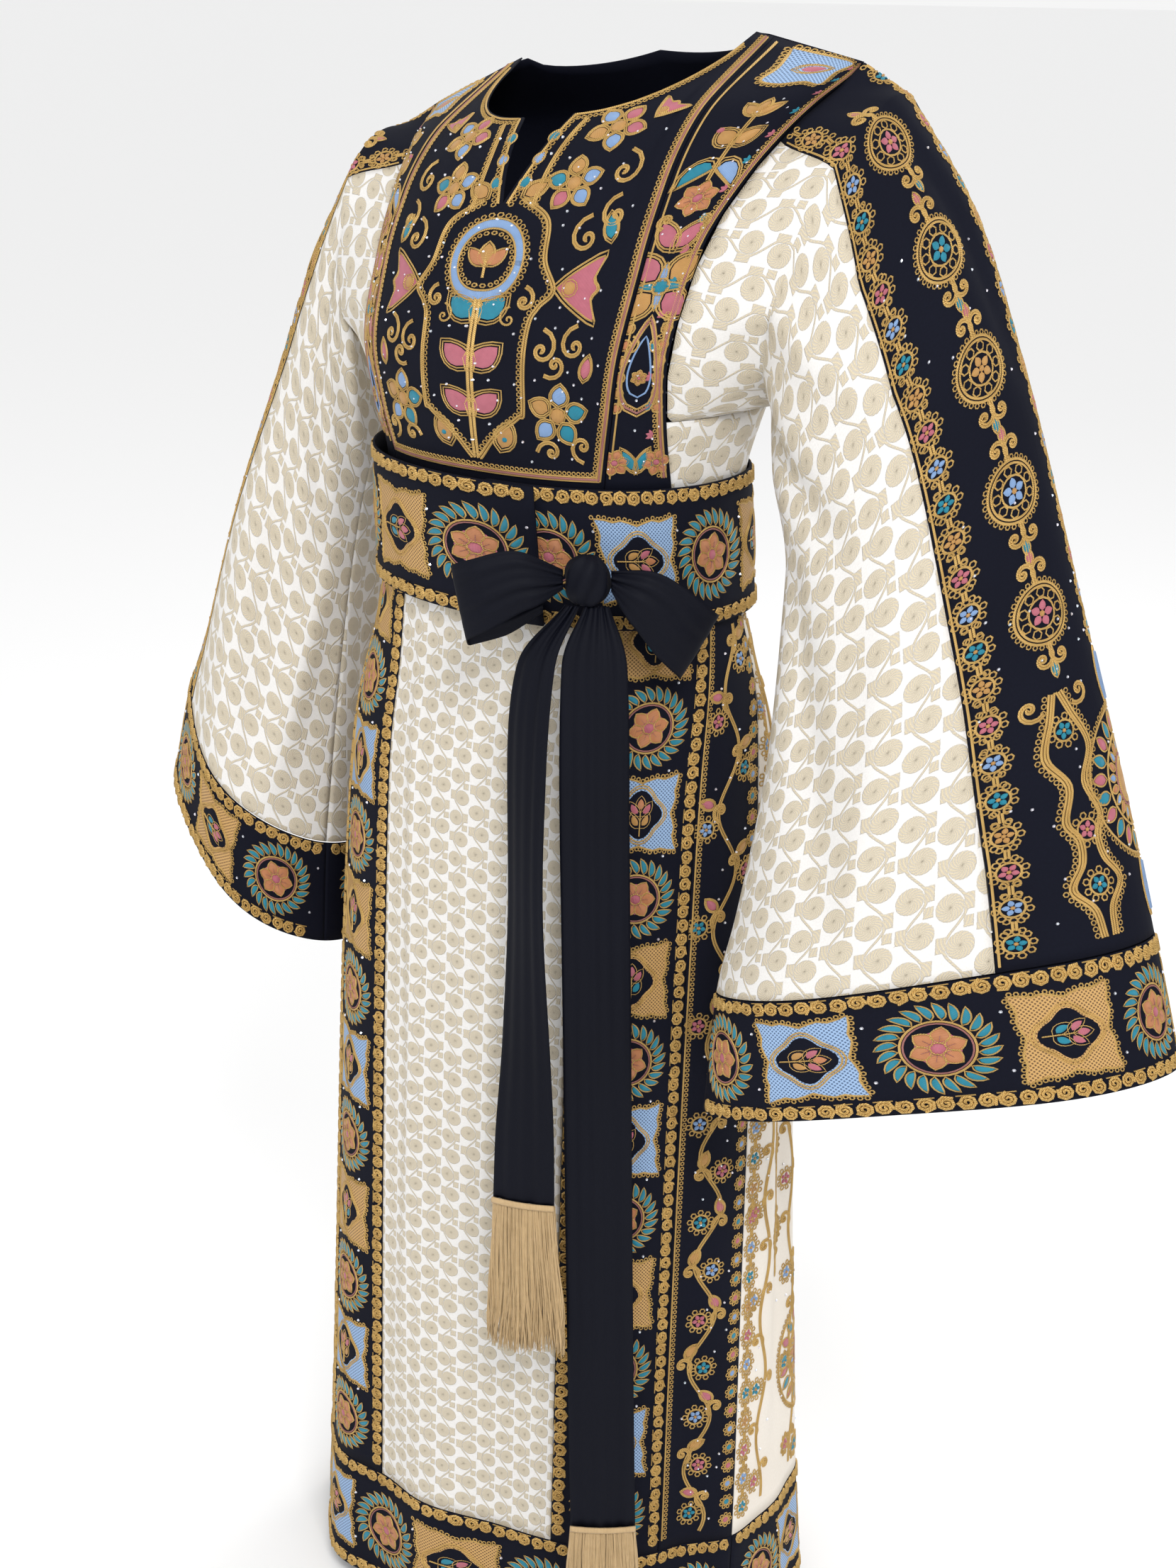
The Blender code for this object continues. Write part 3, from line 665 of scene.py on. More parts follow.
def new_object(name, points, faces, uvs, slots, picks=None):
    mesh = bpy.data.meshes.new(name)
    mesh.from_pydata(np.asarray(points).tolist(), [], faces)
    for slot in slots:
        mesh.materials.append(MATERIALS[slot])
    if picks is not None:
        mesh.polygons.foreach_set("material_index", picks)
    layer = mesh.uv_layers.new(name="cloth")
    corners = np.zeros(len(mesh.loops), dtype=np.int32)
    mesh.loops.foreach_get("vertex_index", corners)
    layer.data.foreach_set("uv", np.asarray(uvs, dtype=np.float32)[corners].ravel())
    mesh.shade_smooth()
    thing = bpy.data.objects.new(name, mesh)
    bpy.context.scene.collection.objects.link(thing)
    return thing


def grid_faces(rows, columns):
    base = np.arange(rows - 1)[:, None] * columns + np.arange(columns - 1)[None, :]
    faces = np.stack([base, base + 1, base + columns + 1, base + columns], axis=-1)
    return faces.reshape(-1, 4).tolist()


UV_SHIFT = 5.0


def cloth_area(grid):
    """The area of a grid of points, quad by quad."""
    across, back = grid[1:, 1:] - grid[:-1, :-1], grid[1:, :-1] - grid[:-1, 1:]
    return float(np.linalg.norm(np.cross(across, back), axis=2).sum() / 2)


def thin_cloth(name, grid, width, rise, look, thickness, offset):
    """A grid of points as thin cloth that stands for its solid."""
    rows, columns = grid.shape[:2]
    s = np.linspace(-0.5, 0.5, columns)[None, :] * width[:, None]
    t = np.broadcast_to(rise[:, None], s.shape)
    uvs = np.stack([s, t], axis=-1).reshape(-1, 2) + UV_SHIFT
    thing = new_object(name + "_cloth", grid.reshape(-1, 3), grid_faces(rows, columns), uvs, [look])
    wall = thing.modifiers.new("wall", "SOLIDIFY")
    wall.thickness = thickness
    wall.offset = offset
    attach(thing, "root")
    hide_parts(name)
    return thing


def shell(name, region, look, thickness):
    """A panel's cloth; the size and area of its cut are worked out but not used."""
    plain = FLAT_MAPS.get(name, region)
    wide, tall = float(plain.width.max()), float(plain.height)
    area = min(cloth_area(region.grid), wide * tall)
    return thin_cloth(name, region.grid, region.width, region.rise, look, thickness, -1.0)


def body_region(levels, left, right, columns, creases=()):
    return Region(panel_rows(levels, left, right, columns), creases=creases)


def build_regions():
    """Every panel by its node name, with the creases that the worn cloth shows."""
    regions = {}
    bodice, low = BODICE, BODICE[:14]
    regions["chest_panel"] = Region(chest_rows())
    regions["bodice_back"] = Region(back_rows())
    regions["front_strip_left"] = body_region(bodice, chest_seam, arm_front, 17)
    regions["front_strip_right"] = body_region(bodice, flipped(arm_front), flipped(chest_seam), 17)
    regions["underarm_left"] = body_region(low, arm_front, arm_back, 25)
    regions["underarm_right"] = body_region(low, flipped(arm_back), flipped(arm_front), 25)
    skirt = spread(HEM_BAND + HEM_SEAM, WAIST - SEAM * 10, 66)
    panel, band = seam_arc(PANEL_HALF), seam_arc(PANEL_HALF + BAND_WIDTH)
    front_creases = (
        (0.16, 0.98, 0.24, 0.30, 0.009, 0.0040),
        (0.42, 0.99, 0.38, 0.05, 0.011, -0.0035),
        (0.66, 0.97, 0.60, 0.22, 0.010, 0.0038),
        (0.86, 0.80, 0.80, 0.02, 0.012, -0.0030),
        (0.27, 0.55, 0.12, 0.06, 0.012, 0.0030),
    )
    side_creases = (
        (0.20, 0.96, 0.16, 0.10, 0.014, 0.0050),
        (0.48, 0.98, 0.55, 0.34, 0.012, -0.0045),
        (0.80, 0.92, 0.86, 0.04, 0.016, 0.0048),
        (0.62, 0.45, 0.38, 0.03, 0.014, -0.0040),
    )
    back_creases = (
        (0.12, 0.98, 0.08, 0.12, 0.013, 0.0050),
        (0.30, 0.95, 0.36, 0.20, 0.015, -0.0045),
        (0.52, 0.99, 0.50, 0.06, 0.012, 0.0050),
        (0.72, 0.96, 0.66, 0.28, 0.014, -0.0048),
        (0.90, 0.94, 0.93, 0.05, 0.012, 0.0044),
    )
    regions["skirt_front"] = body_region(skirt, flipped(panel), panel, 61, front_creases)
    regions["skirt_band_left"] = body_region(skirt, panel, band, 21)
    regions["skirt_band_right"] = body_region(skirt, flipped(band), flipped(panel), 21)
    regions["skirt_strip_left"] = body_region(skirt, band, strip_seam, 17)
    regions["skirt_strip_right"] = body_region(skirt, flipped(strip_seam), flipped(band), 17)
    regions["skirt_side_left"] = body_region(skirt, strip_seam, back_seam, 45, side_creases)
    regions["skirt_side_right"] = body_region(skirt, flipped(back_seam), flipped(strip_seam), 45,
                                              side_creases)
    regions["skirt_back"] = body_region(skirt, back_seam, lambda level: 360.0 - back_seam(level), 71,
                                        back_creases)
    hem = spread(0.0, HEM_BAND - HEM_SEAM, 9)
    regions["hem_band_front"] = body_region(hem, flipped(strip_seam), strip_seam, 121)
    regions["hem_band_back"] = body_region(
        hem,
        lambda level: strip_seam(level) + SEAM_DEGREES,
        lambda level: 360.0 - strip_seam(level) - SEAM_DEGREES,
        141,
    )
    sleeve_creases = {
        "top": ((0.30, 0.97, 0.42, 0.60, 0.014, -0.0040), (0.70, 0.88, 0.60, 0.40, 0.013, 0.0036)),
        "front": (
            (0.10, 0.93, 0.62, 0.55, 0.016, -0.0060),
            (0.46, 0.97, 0.86, 0.66, 0.014, 0.0050),
            (0.30, 0.62, 0.58, 0.08, 0.020, -0.0060),
            (0.78, 0.50, 0.70, 0.04, 0.017, 0.0055),
        ),
        "back": (
            (0.86, 0.94, 0.40, 0.58, 0.016, -0.0058),
            (0.62, 0.66, 0.50, 0.10, 0.018, 0.0056),
            (0.22, 0.48, 0.28, 0.05, 0.016, -0.0050),
        ),
    }
    for name, table, side in (("left", SLEEVE_LEFT, 1), ("right", SLEEVE_RIGHT, -1)):
        parts, rings = sleeve_parts(table, side)
        centres = np.array([ring[:-1].mean(axis=0) for ring in rings])[::-1]
        for part, rows in parts.items():
            regions["sleeve_%s_%s" % (part, name)] = Region(rows[::-1], centres, sleeve_creases[part], 1.5)
        cuff, middles = [], []
        for at in spread(CUFF_RING + 1.0, CUFF_RING + 0.014, 9):
            ring = np.roll(sleeve_ring(table, at, SLEEVE_POINTS)[:-1], SLEEVE_POINTS // 2, axis=0)
            cuff.append(np.concatenate([ring, ring[:1]]))
            middles.append(ring.mean(axis=0))
        regions["cuff_" + name] = Region(cuff, np.array(middles))
    belt = []
    for up in spread(0.0, 1.0, 7):
        row = []
        for share in spread(0.0, 1.0, 181):
            angle = BELT_START - BELT_LAP + (360.0 + BELT_LAP) * share
            lap = min(1.0, max(0.0, (share - LAP_START) / LAP_RISE))
            row.append(belt_point(angle, up, BELT_UNDER + (BELT_OVER - BELT_UNDER) * lap))
        belt.append(row)
    regions["belt"] = Region(belt)
    return regions


LOOKS = {
    "navy": ("navy_crepe", (
        "chest_panel", "bodice_back", "front_strip_left", "front_strip_right", "skirt_band_left",
        "skirt_band_right", "skirt_strip_left", "skirt_strip_right", "hem_band_front", "hem_band_back",
        "sleeve_top_left", "sleeve_top_right", "cuff_left", "cuff_right", "belt",
    )),
    "brocade": ("cream_brocade", ("skirt_front", "skirt_back")),
    "brocade_large": ("cream_brocade", (
        "underarm_left", "underarm_right", "sleeve_front_left", "sleeve_front_right", "sleeve_back_left",
        "sleeve_back_right",
    )),
    "plain": ("cream_crepe", ("skirt_side_left", "skirt_side_right")),
}


# Bow and sash: path rows in the bow's own frame (across the view, out, up)

LOOP_RIGHT_HAND = (
    (-0.0196, 0.001, 0.001, 0.008, 0.0),
    (-0.050, 0.016, 0.004, 0.024, -0.004),
    (-0.082, 0.018, -0.006, 0.030, -0.006),
    (-0.104, 0.006, -0.018, 0.032, -0.006),
    (-0.100, -0.008, -0.026, 0.031, -0.004),
    (-0.070, -0.010, -0.024, 0.026, 0.0),
    (-0.036, -0.008, -0.014, 0.015, 0.0),
)
LOOP_LEFT_HAND = (
    (0.0196, 0.001, 0.000, 0.008, 0.0),
    (0.046, 0.014, -0.012, 0.024, 0.010),
    (0.072, 0.010, -0.036, 0.030, 0.016),
    (0.092, -0.006, -0.058, 0.031, 0.018),
    (0.090, -0.024, -0.062, 0.030, 0.016),
    (0.066, -0.026, -0.040, 0.025, 0.010),
    (0.038, -0.012, -0.016, 0.014, 0.0),
)
TAIL_LONG = (
    (-0.4295, 0.008, 0.000, 0.010, 0),
    (-0.480, 0.006, 0.012, 0.027, 4),
    (-0.580, 0.006, 0.018, 0.029, 0),
    (-0.760, 0.008, 0.030, 0.029, -3),
    (-0.960, 0.010, 0.040, 0.029, 2),
    (-1.130, 0.012, 0.048, 0.029, 0),
    (-1.268, 0.014, 0.056, 0.029, 0),
)
TAIL_SHORT = (
    (-0.4285, -0.012, 0.000, 0.006, 0),
    (-0.480, -0.042, 0.002, 0.017, 24),
    (-0.560, -0.050, 0.008, 0.022, 42),
    (-0.680, -0.052, 0.018, 0.024, 52),
    (-0.800, -0.052, 0.026, 0.026, 40),
    (-0.900, -0.054, 0.034, 0.028, 24),
    (-0.952, -0.055, 0.037, 0.028, 18),
)
TASSEL_LENGTH = 0.140
KNOT_SIZE = (0.0195, 0.0135, 0.0215)


def bow_frame(side, out, z):
    return np.array(KNOT + BOW_SIDE * side + BOW_OUT * out + Vector((0, 0, z)))


def ribbon_rows(table, tail, pleats, pleat_depth, columns=25, steps=90):
    """A ribbon's cross rows; pleats run along it and are deepest at the tied end."""
    side_way, out_way = np.array(BOW_SIDE), np.array(BOW_OUT)
    rows = []
    for at in spread(0.0, len(table) - 1, steps):
        row = smooth_rows(table, at)
        if tail:
            centre = bow_frame(row[1], row[2], row[0] - KNOT.z)
            turn = math.radians(row[4])
            across = side_way * math.cos(turn) + out_way * math.sin(turn)
            half, cup = row[3], 0.003
            held = math.exp(-at * 1.3)
            normal = np.cross(across, np.array([0.0, 0.0, 1.0]))
        else:
            centre = bow_frame(row[0], row[1], row[2])
            lean = np.array([0.0, 0.0, 1.0]) + side_way * (row[4] / row[3])
            across = lean / np.linalg.norm(lean)
            half, cup = row[3], 0.004
            held = max(math.exp(-at * 0.9), math.exp(-(len(table) - 1 - at) * 0.9))
            normal = out_way
        line = []
        for share in spread(-1.0, 1.0, columns):
            wave = sum(math.cos(count * math.pi * share + shift) for count, shift in pleats)
            fold = pleat_depth * (0.35 + 0.65 * held) * wave * (1 - share ** 8)
            cupped = out_way * cup * (1 - share * share)
            line.append(centre + across * half * share + cupped + normal * fold)
        rows.append(line)
    return rows


def ribbon(name, rows):
    grid = np.array(rows)
    width, rise = measures(grid)
    thing = thin_cloth(name, grid, width, rise, "ribbon", RIBBON_THICKNESS, 0.0)
    wide, long = float(width.max()), float(rise[-1])
    min(cloth_area(grid), wide * long)
    return thing


def knot():
    """The sash's centre: a wrapped knot with the cloth's folds running round it."""
    steps, around = 30, 48
    points = []
    for i in range(steps + 1):
        polar = math.pi * i / steps
        bulge = math.sin(polar)
        for j in range(around):
            turn = 2 * math.pi * j / around
            fold = 1.0 + 0.075 * bulge * math.cos(6 * turn + 2.4 * polar) - 0.06 * bulge ** 6
            fold += 0.06 * bulge * math.cos(3 * turn + 3 * polar + 0.7)
            side = KNOT_SIZE[0] * bulge * math.cos(turn) * fold
            out = -KNOT_SIZE[1] * bulge * math.sin(turn) * fold
            points.append(bow_frame(side, out, KNOT_SIZE[2] * math.cos(polar) * fold))
    faces = []
    for i in range(steps):
        for j in range(around):
            k = (j + 1) % around
            faces.append((i * around + j, i * around + k, (i + 1) * around + k, (i + 1) * around + j))
    uvs = np.array([(j / around * 0.12, i / steps * 0.05) for i in range(steps + 1) for j in range(around)])
    thing = new_object("bow_knot_cloth", points, faces, uvs, ["ribbon"])
    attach(thing, "root")
    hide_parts("bow_knot")
    return thing


BODICE = bodice_levels(14, 44)
FLAT_MAPS = {
    "chest_panel": body_region(BODICE, flipped(chest_seam), chest_seam, 61),
    "bodice_back": body_region(BODICE, arm_back, lambda level: 360.0 - arm_back(level), 61),
}
regions = build_regions()
for look, (record_slot, names) in LOOKS.items():
    for name in names:
        thickness = BELT_THICKNESS if name == "belt" else CLOTH
        shell(name, regions[name], look, thickness)
ribbon("bow_loop_right", ribbon_rows(LOOP_RIGHT_HAND, False, ((3, 0.4), (5, 1.9)), 0.0016))
ribbon("bow_loop_left", ribbon_rows(LOOP_LEFT_HAND, False, ((3, 2.0), (4, 0.3)), 0.0016))
ribbon("sash_long", ribbon_rows(TAIL_LONG, True, ((2, 0.5), (5, 1.1)), 0.0015))
ribbon("sash_short", ribbon_rows(TAIL_SHORT, True, ((2, 2.2), (4, 0.4)), 0.0014))
knot()


# Embroidery. A pattern is drawn flat with complex numbers, across + along * 1j, then laid on a panel.

CORD = 0.00085
THIN = 0.0008
# A stem is a pair of cords: how far apart they lie, and the half width of each
STEM = (0.0022, 0.0009)
# The bodice panels' lowest stretch, which the belt hides and which stays plain
UNDER_BELT = 0.074
LIFT = 0.00025
UP = math.pi / 2


def heading(angle):
    """A step of length one in this direction."""
    return np.exp(1j * angle)


def angle_of(way):
    return math.atan2(way.imag, way.real)


def unit(way):
    return way / np.maximum(np.abs(way), 1e-9)


def rejoined(line):
    """A closed line with its first point again at its end."""
    return np.append(line, line[0])


class Pen:
    """Collects cords, satin fills and crystals for one panel."""

    def __init__(self):
        self.parts, self.faces, self.uvs, self.picks, self.count = [], [], [], [], 0

    def add(self, flat, heights, faces, uv, slot):
        self.parts.append(np.column_stack([flat.real, flat.imag, heights]))
        self.uvs.append(uv)
        self.faces += [tuple(corner + self.count for corner in face) for face in faces]
        self.picks += [SLOT_INDEX[slot]] * len(faces)
        self.count += len(flat)

    def cord(self, line, half=CORD, slot="gold", closed=False, high=1.25):
        line = np.asarray(line, dtype=complex)
        if closed:
            line = rejoined(line)
            step = np.diff(line)
            way = unit(rejoined(step) + np.insert(step, 0, step[-1]))
        else:
            way = unit(np.gradient(line))
        count = len(line)
        flat = np.empty(3 * count, dtype=complex)
        flat[0::3], flat[1::3], flat[2::3] = line + 1j * way * half, line, line - 1j * way * half
        heights = np.tile([LIFT, LIFT + half * high, LIFT], count)
        gone = np.concatenate([[0.0], np.cumsum(np.abs(np.diff(line)))])
        uv = np.column_stack([np.repeat(gone, 3), np.tile([-1.0, 0.0, 1.0], count)])
        faces = []
        for k in range(0, 3 * (count - 1), 3):
            faces += [(k, k + 1, k + 4, k + 3), (k + 1, k + 2, k + 5, k + 4)]
        self.add(flat, heights, [face[::-1] for face in faces], uv, slot)

    def cords(self, line, apart=0.0018, half=CORD, slot="gold"):
        """Two cords side by side."""
        line = np.asarray(line, dtype=complex)
        way = unit(np.gradient(line))
        for side in (-0.5, 0.5):
            self.cord(line + 1j * way * apart * side, half, slot)

    def fill(self, outline, slot, high=0.0009, grain=0.0, shares=(0.62,)):
        """A raised patch of thread; grain is the direction that the threads cross."""
        outline = np.asarray(outline, dtype=complex)
        middle = outline.mean()
        count = len(outline)
        rings = [outline] + [middle + (outline - middle) * share for share in shares]
        flat = np.concatenate(rings + [[middle]])
        tops = [0.0002] + [high * (0.85 + 0.15 * (1 - share)) for share in shares] + [high]
        heights = np.concatenate([np.full(count, top) for top in tops[:-1]] + [[tops[-1]]])
        faces = []
        for ring in range(len(shares)):
            for k in range(count):
                after = (k + 1) % count
                a, b = ring * count, (ring + 1) * count
                faces.append((a + k, a + after, b + after, b + k))
        last = len(shares) * count
        faces += [(last + k, last + (k + 1) % count, last + count) for k in range(count)]
        turned = flat * np.exp(-1j * grain)
        self.add(flat, heights, faces, np.column_stack([turned.real, turned.imag]), slot)

    def net(self, outline, slot):
        self.fill(outline, slot, 0.0005, 0.0, (0.8, 0.6, 0.4, 0.2))

    def ring(self, at, radius, count, half=CORD, slot="gold", high=1.25):
        self.cord(circle(at, radius, count), half, slot, True, high)

    def dot(self, at, radius, count, slot, high):
        self.fill(circle(at, radius, count), slot, high)

    def gem(self, at, radius=0.0014):
        ring = np.exp(2j * math.pi * np.arange(6) / 6)
        flat = at + np.concatenate([ring * radius, ring * radius * 0.55])
        heights = np.concatenate([np.full(6, 0.0002), np.full(6, 0.0002 + radius * 0.8)])
        faces = [(k, (k + 1) % 6, 6 + (k + 1) % 6, 6 + k) for k in range(6)] + [tuple(range(6, 12))]
        self.add(flat, heights, faces, np.column_stack([flat.real, flat.imag]), "gem")


SLOTS = ("gold", "pink", "rose", "teal", "sky", "tan", "peach", "blue_net", "gold_net", "gem", "navy")
SLOT_INDEX = {slot: index for index, slot in enumerate(SLOTS)}


def circle(at, radius, count, start=0.0):
    return at + radius * np.exp(1j * (start + 2 * math.pi * np.arange(count) / count))


def curve(points, steps=8):
    """A smooth line through these points."""
    points = np.asarray(points, dtype=complex)
    ends = np.concatenate([[2 * points[0] - points[1]], points, [2 * points[-1] - points[-2]]])
    out = []
    for k in range(len(points) - 1):
        p0, p1, p2, p3 = ends[k:k + 4]
        t = np.arange(steps) / steps
        out.append(0.5 * (2 * p1 + (p2 - p0) * t + (2 * p0 - 5 * p1 + 4 * p2 - p3) * t ** 2
                          + (3 * p1 - p0 - 3 * p2 + p3) * t ** 3))
    return np.append(np.concatenate(out), points[-1])


def beads_on(line, pitch):
    """Places and directions at even steps of a line."""
    line = np.asarray(line, dtype=complex)
    gone = np.concatenate([[0.0], np.cumsum(np.abs(np.diff(line)))])
    count = max(1, int(round(gone[-1] / pitch)))
    at = (np.arange(count) + 0.5) * gone[-1] / count

    def place(distance):
        return np.interp(distance, gone, line.real) + 1j * np.interp(distance, gone, line.imag)

    way = place(np.minimum(at + 0.0005, gone[-1])) - place(at - 0.0005)
    return list(zip(place(at), unit(way)))


def loops(pen, line, side, pitch=0.0043, radius=0.00165, slot="gold"):
    """Small loops of cord along one side of a line."""
    for here, way in beads_on(line, pitch):
        middle = here + 1j * way * side * radius * 1.25
        start = angle_of(way)
        pen.cord(circle(middle, radius, 6, start), 0.00055, slot, closed=True)


def rosette(pen, at, radius, angle=0.0):
    share = np.linspace(0.0, 1.0, 20)
    line = at + radius * (1 - 0.92 * share) * heading(angle + 4.5 * math.pi * share ** 0.85)
    pen.cord(line, radius * 0.185, high=1.6)


def rosette_row(pen, line, pitch=0.0122, radius=0.0060):
    for step, (here, way) in enumerate(beads_on(line, pitch)):
        rosette(pen, here, radius, 2.4 * step)
        if step % 2 == 0:
            continue
        pen.cord(here + np.array([-0.5, -0.2, 0.2, 0.5]) * pitch * way + 1j * way * 0.0054, 0.0005)


def petal_line(base, angle, length, width, bend=0.0, count=7, fullness=0.85):
    share = np.linspace(0.0, 1.0, count)
    side = width * np.abs(np.sin(math.pi * share ** fullness)) ** 0.75
    both = np.concatenate([share * length + 1j * side, (share * length - 1j * side)[-2:0:-1]])
    turn = np.concatenate([share, share[-2:0:-1]])
    return base + both * heading(angle + bend * turn)


def petal(pen, base, angle, length, width, slot, bend=0.0, half=0.0007, double=False):
    line = petal_line(base, angle, length, width, bend)
    middle = line.mean()
    pen.fill(middle + (line - middle) * 0.84, slot, min(0.0011, width * 0.4), angle)
    pen.cord(line, half, closed=True)
    if double:
        pen.cord(middle + (line - middle) * 1.22, half, closed=True)


def flower(pen, at, radius, slots, angle):
    """Five double-outlined petals round a raised middle."""
    for step in range(5):
        turn = angle + 2 * math.pi * step / 5
        slot = slots[step % len(slots)]
        petal(pen, at + radius * 0.30 * heading(turn), turn, radius * 0.66, radius * 0.27, slot,
              double=True)
    pen.dot(at, radius * 0.24, 8, "tan", 0.0016)
    pen.ring(at, radius * 0.27, 9, 0.0006)


def bloom(pen, at, radius, angle=0.0, outer="peach", inner="rose"):
    """A round stitched flower: six outlined petals on a disc, threads drawn to a small eye."""
    pen.dot(at, radius * 0.80, 12, inner, 0.0006)
    for turn in angle + 2 * math.pi * np.arange(6) / 6:
        line = petal_line(at + radius * 0.24 * heading(turn), turn, radius * 0.76, radius * 0.33, count=6)
        pen.fill(line, outer, 0.0012, turn)
        pen.cord(line, 0.0006, closed=True, high=2.0)
        pen.cord(at + heading(turn) * radius * np.array([0.30, 0.62]), 0.0005, "pink", high=3.0)
    pen.dot(at, radius * 0.27, 8, inner, 0.0018)
    pen.ring(at, radius * 0.29, 9, 0.0006, high=2.8)


def medallion(pen, at, radius, angle=0.0):
    """The round motif of the bands: a stitched flower in a ring of comma petals."""
    bloom(pen, at, radius * 0.47, angle)
    pen.ring(at, radius * 0.54, 30, 0.0006, "pink")
    pen.ring(at, radius * 0.59, 30, 0.0008)
    count = 24
    for step in range(count):
        turn = angle + 2 * math.pi * step / count
        base = at + radius * 0.62 * heading(turn)
        petal(pen, base, turn, radius * 0.40, radius * 0.075, "teal", bend=0.5, half=0.00055)


def patch_line(at, half, angle, count=11):
    share = np.linspace(-1.0, 1.0, count)[:-1]
    side = 0.95 - 0.06 * np.cos(math.pi * share) - 0.050 * np.cos(3 * math.pi * share)
    line = np.concatenate([(side + 1j * share) * np.exp(0.5j * math.pi * turn) for turn in range(4)])
    return at + half * line * heading(angle)


def tulip_patch(pen, at, half, net, angle):
    """The square motif: a net ground with a dark vase opening and a tulip spray."""
    turned = heading(angle)
    line = patch_line(at, half * 0.97, angle)
    pen.net(line, net)
    pen.cord(line, THIN, closed=True)
    loops(pen, rejoined(line)[::-1], 1, 0.0046, 0.0016)
    turn = np.linspace(0, 2 * math.pi, 32, endpoint=False)
    opening = (0.60 + 0.07 * np.cos(4 * turn) + 0.03 * np.cos(2 * turn)) * heading(turn)
    vase = at + opening * half * turned
    pen.fill(vase, "navy", 0.0008, 0.0, (0.8, 0.5, 0.25))
    pen.cord(vase, THIN, closed=True, high=1.9)
    pen.cord(at + opening * half * turned * 1.10, 0.0007, closed=True, high=1.9)
    pen.cord(at + half * turned * np.linspace(-0.55, 0.10, 6), 0.0007, high=2.6)
    other = "teal" if net == "gold_net" else "tan"
    for x, opened, slot in ((-0.34, 0.80, other), (-0.02, 0.95, "rose")):
        for side in (1, -1):
            base = at + half * x * turned
            petal(pen, base, angle + side * opened, half * 0.47, half * 0.125, slot, bend=-0.3 * side,
                  half=0.0007)
    petal(pen, at + half * 0.06 * turned, angle, half * 0.44, half * 0.13,
          "rose" if other == "teal" else "peach",
          half=0.0007)


def crook(pen, at, size, angle, hand, double=False):
    """A stem that curls into a spiral."""
    turn = np.linspace(0.0, 3.1 * math.pi, 22)
    line = (1.0 - np.exp((-0.27 + 1j * hand) * turn)) * heading(angle) * size + at
    if double:
        pen.cords(line, 0.0019, 0.0009)
    else:
        pen.cord(line, 0.0009)


def leaf_pair(pen, at, angle, length, width, slot, opening=0.75):
    for side in (1, -1):
        petal(pen, at, angle + side * opening, length, width, slot, double=True, half=0.0006)


def bell(pen, at, size, angle, slot="rose"):
    """A pink bell-shaped patch with a gold bud at its foot."""
    line = curve([0, 0.35 + 0.30j, 0.95 + 0.62j, 0.80 + 0.20j, 0.92, 0.80 - 0.20j, 0.95 - 0.62j,
                  0.35 - 0.30j, 0], 3)
    line = at + line[:-1] * size * heading(angle)
    pen.fill(line, slot, 0.0009, angle, (0.75, 0.4))
    pen.cord(line, THIN, closed=True)
    middle = line.mean()
    pen.cord(middle + (line - middle) * 1.16, THIN, closed=True)
    pen.dot(at + 0.30 * size * heading(angle), size * 0.16, 8, "tan", 0.0017)
    pen.ring(at + 0.30 * size * heading(angle), size * 0.17, 9, 0.0007, high=2.4)


def teardrop(pen, at, length, width, angle):
    """Nested drops of pink, gold and grey cord round a stitched flower."""
    for grow, slot, half in ((1.0, "gold", 0.0009), (0.93, "pink", 0.0011), (0.85, "gold", 0.0008),
                             (0.60, "sky", 0.0008)):
        line = petal_line(at - 0.5 * length * grow * heading(angle), angle, length * grow, width * grow,
                          0, 15, 0.62)
        pen.cord(line, half, slot, closed=True)
        if grow == 0.85:
            loops(pen, rejoined(line), 1, 0.0040, 0.0014)
    bloom(pen, at - 0.10 * length * heading(angle), width * 0.42, 0.4, "tan", "rose")


def ring_flower(pen, at, radius, slot, angle=0.0):
    pen.dot(at, radius * 0.42, 10, slot, 0.0011)
    pen.ring(at, radius * 0.48, 12, 0.0007)
    for spot in circle(at, radius * 0.80, 8, angle):
        pen.ring(spot, radius * 0.24, 6, 0.0006)


def sun(pen, at, radius, start, turn):
    """Part of a large round medallion: rings of cord and petals in two colours."""
    sweep = np.linspace(start, start + turn, 34)
    for share, slot, half in ((0.30, "gold", 0.0010), (0.36, "pink", 0.0009), (0.62, "gold", 0.0010),
                              (1.0, "gold", 0.0010)):
        pen.cord(at + radius * share * heading(sweep), half, slot)
    count = max(6, int(turn * 3.2))
    for step in range(count):
        aim = start + turn * (step + 0.5) / count
        petal(pen, at + radius * 0.66 * heading(aim), aim, radius * 0.30, radius * 0.085,
              ("teal", "rose")[step % 2])
        petal(pen, at + radius * 0.38 * heading(aim), aim, radius * 0.21, radius * 0.055,
              ("peach", "sky")[step % 2])
    loops(pen, at + radius * heading(sweep[::-1]), 1, 0.0052, 0.0019)
    pen.fill(at + radius * 0.26 * np.exp(1j * np.linspace(start, start + turn, 14)), "tan", 0.0012)


def band(pen, upright, start, end, edge, radius, pitch=0.0785):
    """Rosette rows along both edges; medallions and net patches by turns down the middle."""
    way = 1j if upright else 1.0
    cross = -1.0 if upright else 1j
    whole = np.linspace(start, end, 160)
    for side in (-1, 1):
        rosette_row(pen, whole * way + cross * side * edge)
    count = int((end - start) / pitch + 0.3)
    for step in range(count):
        at = (start + (end - start) * (step + 0.5) / count) * way
        if step % 2 == 0:
            medallion(pen, at, radius, 0.13 * step)
        else:
            net = ("blue_net", "gold_net")[step // 2 % 2]
            tulip_patch(pen, at, radius * 0.92, net, 0.0 if not upright else UP)
        join = at + (end - start) / count / 2 * way
        for side in (-1, 1):
            pen.gem(join + cross * side * radius * 0.62)


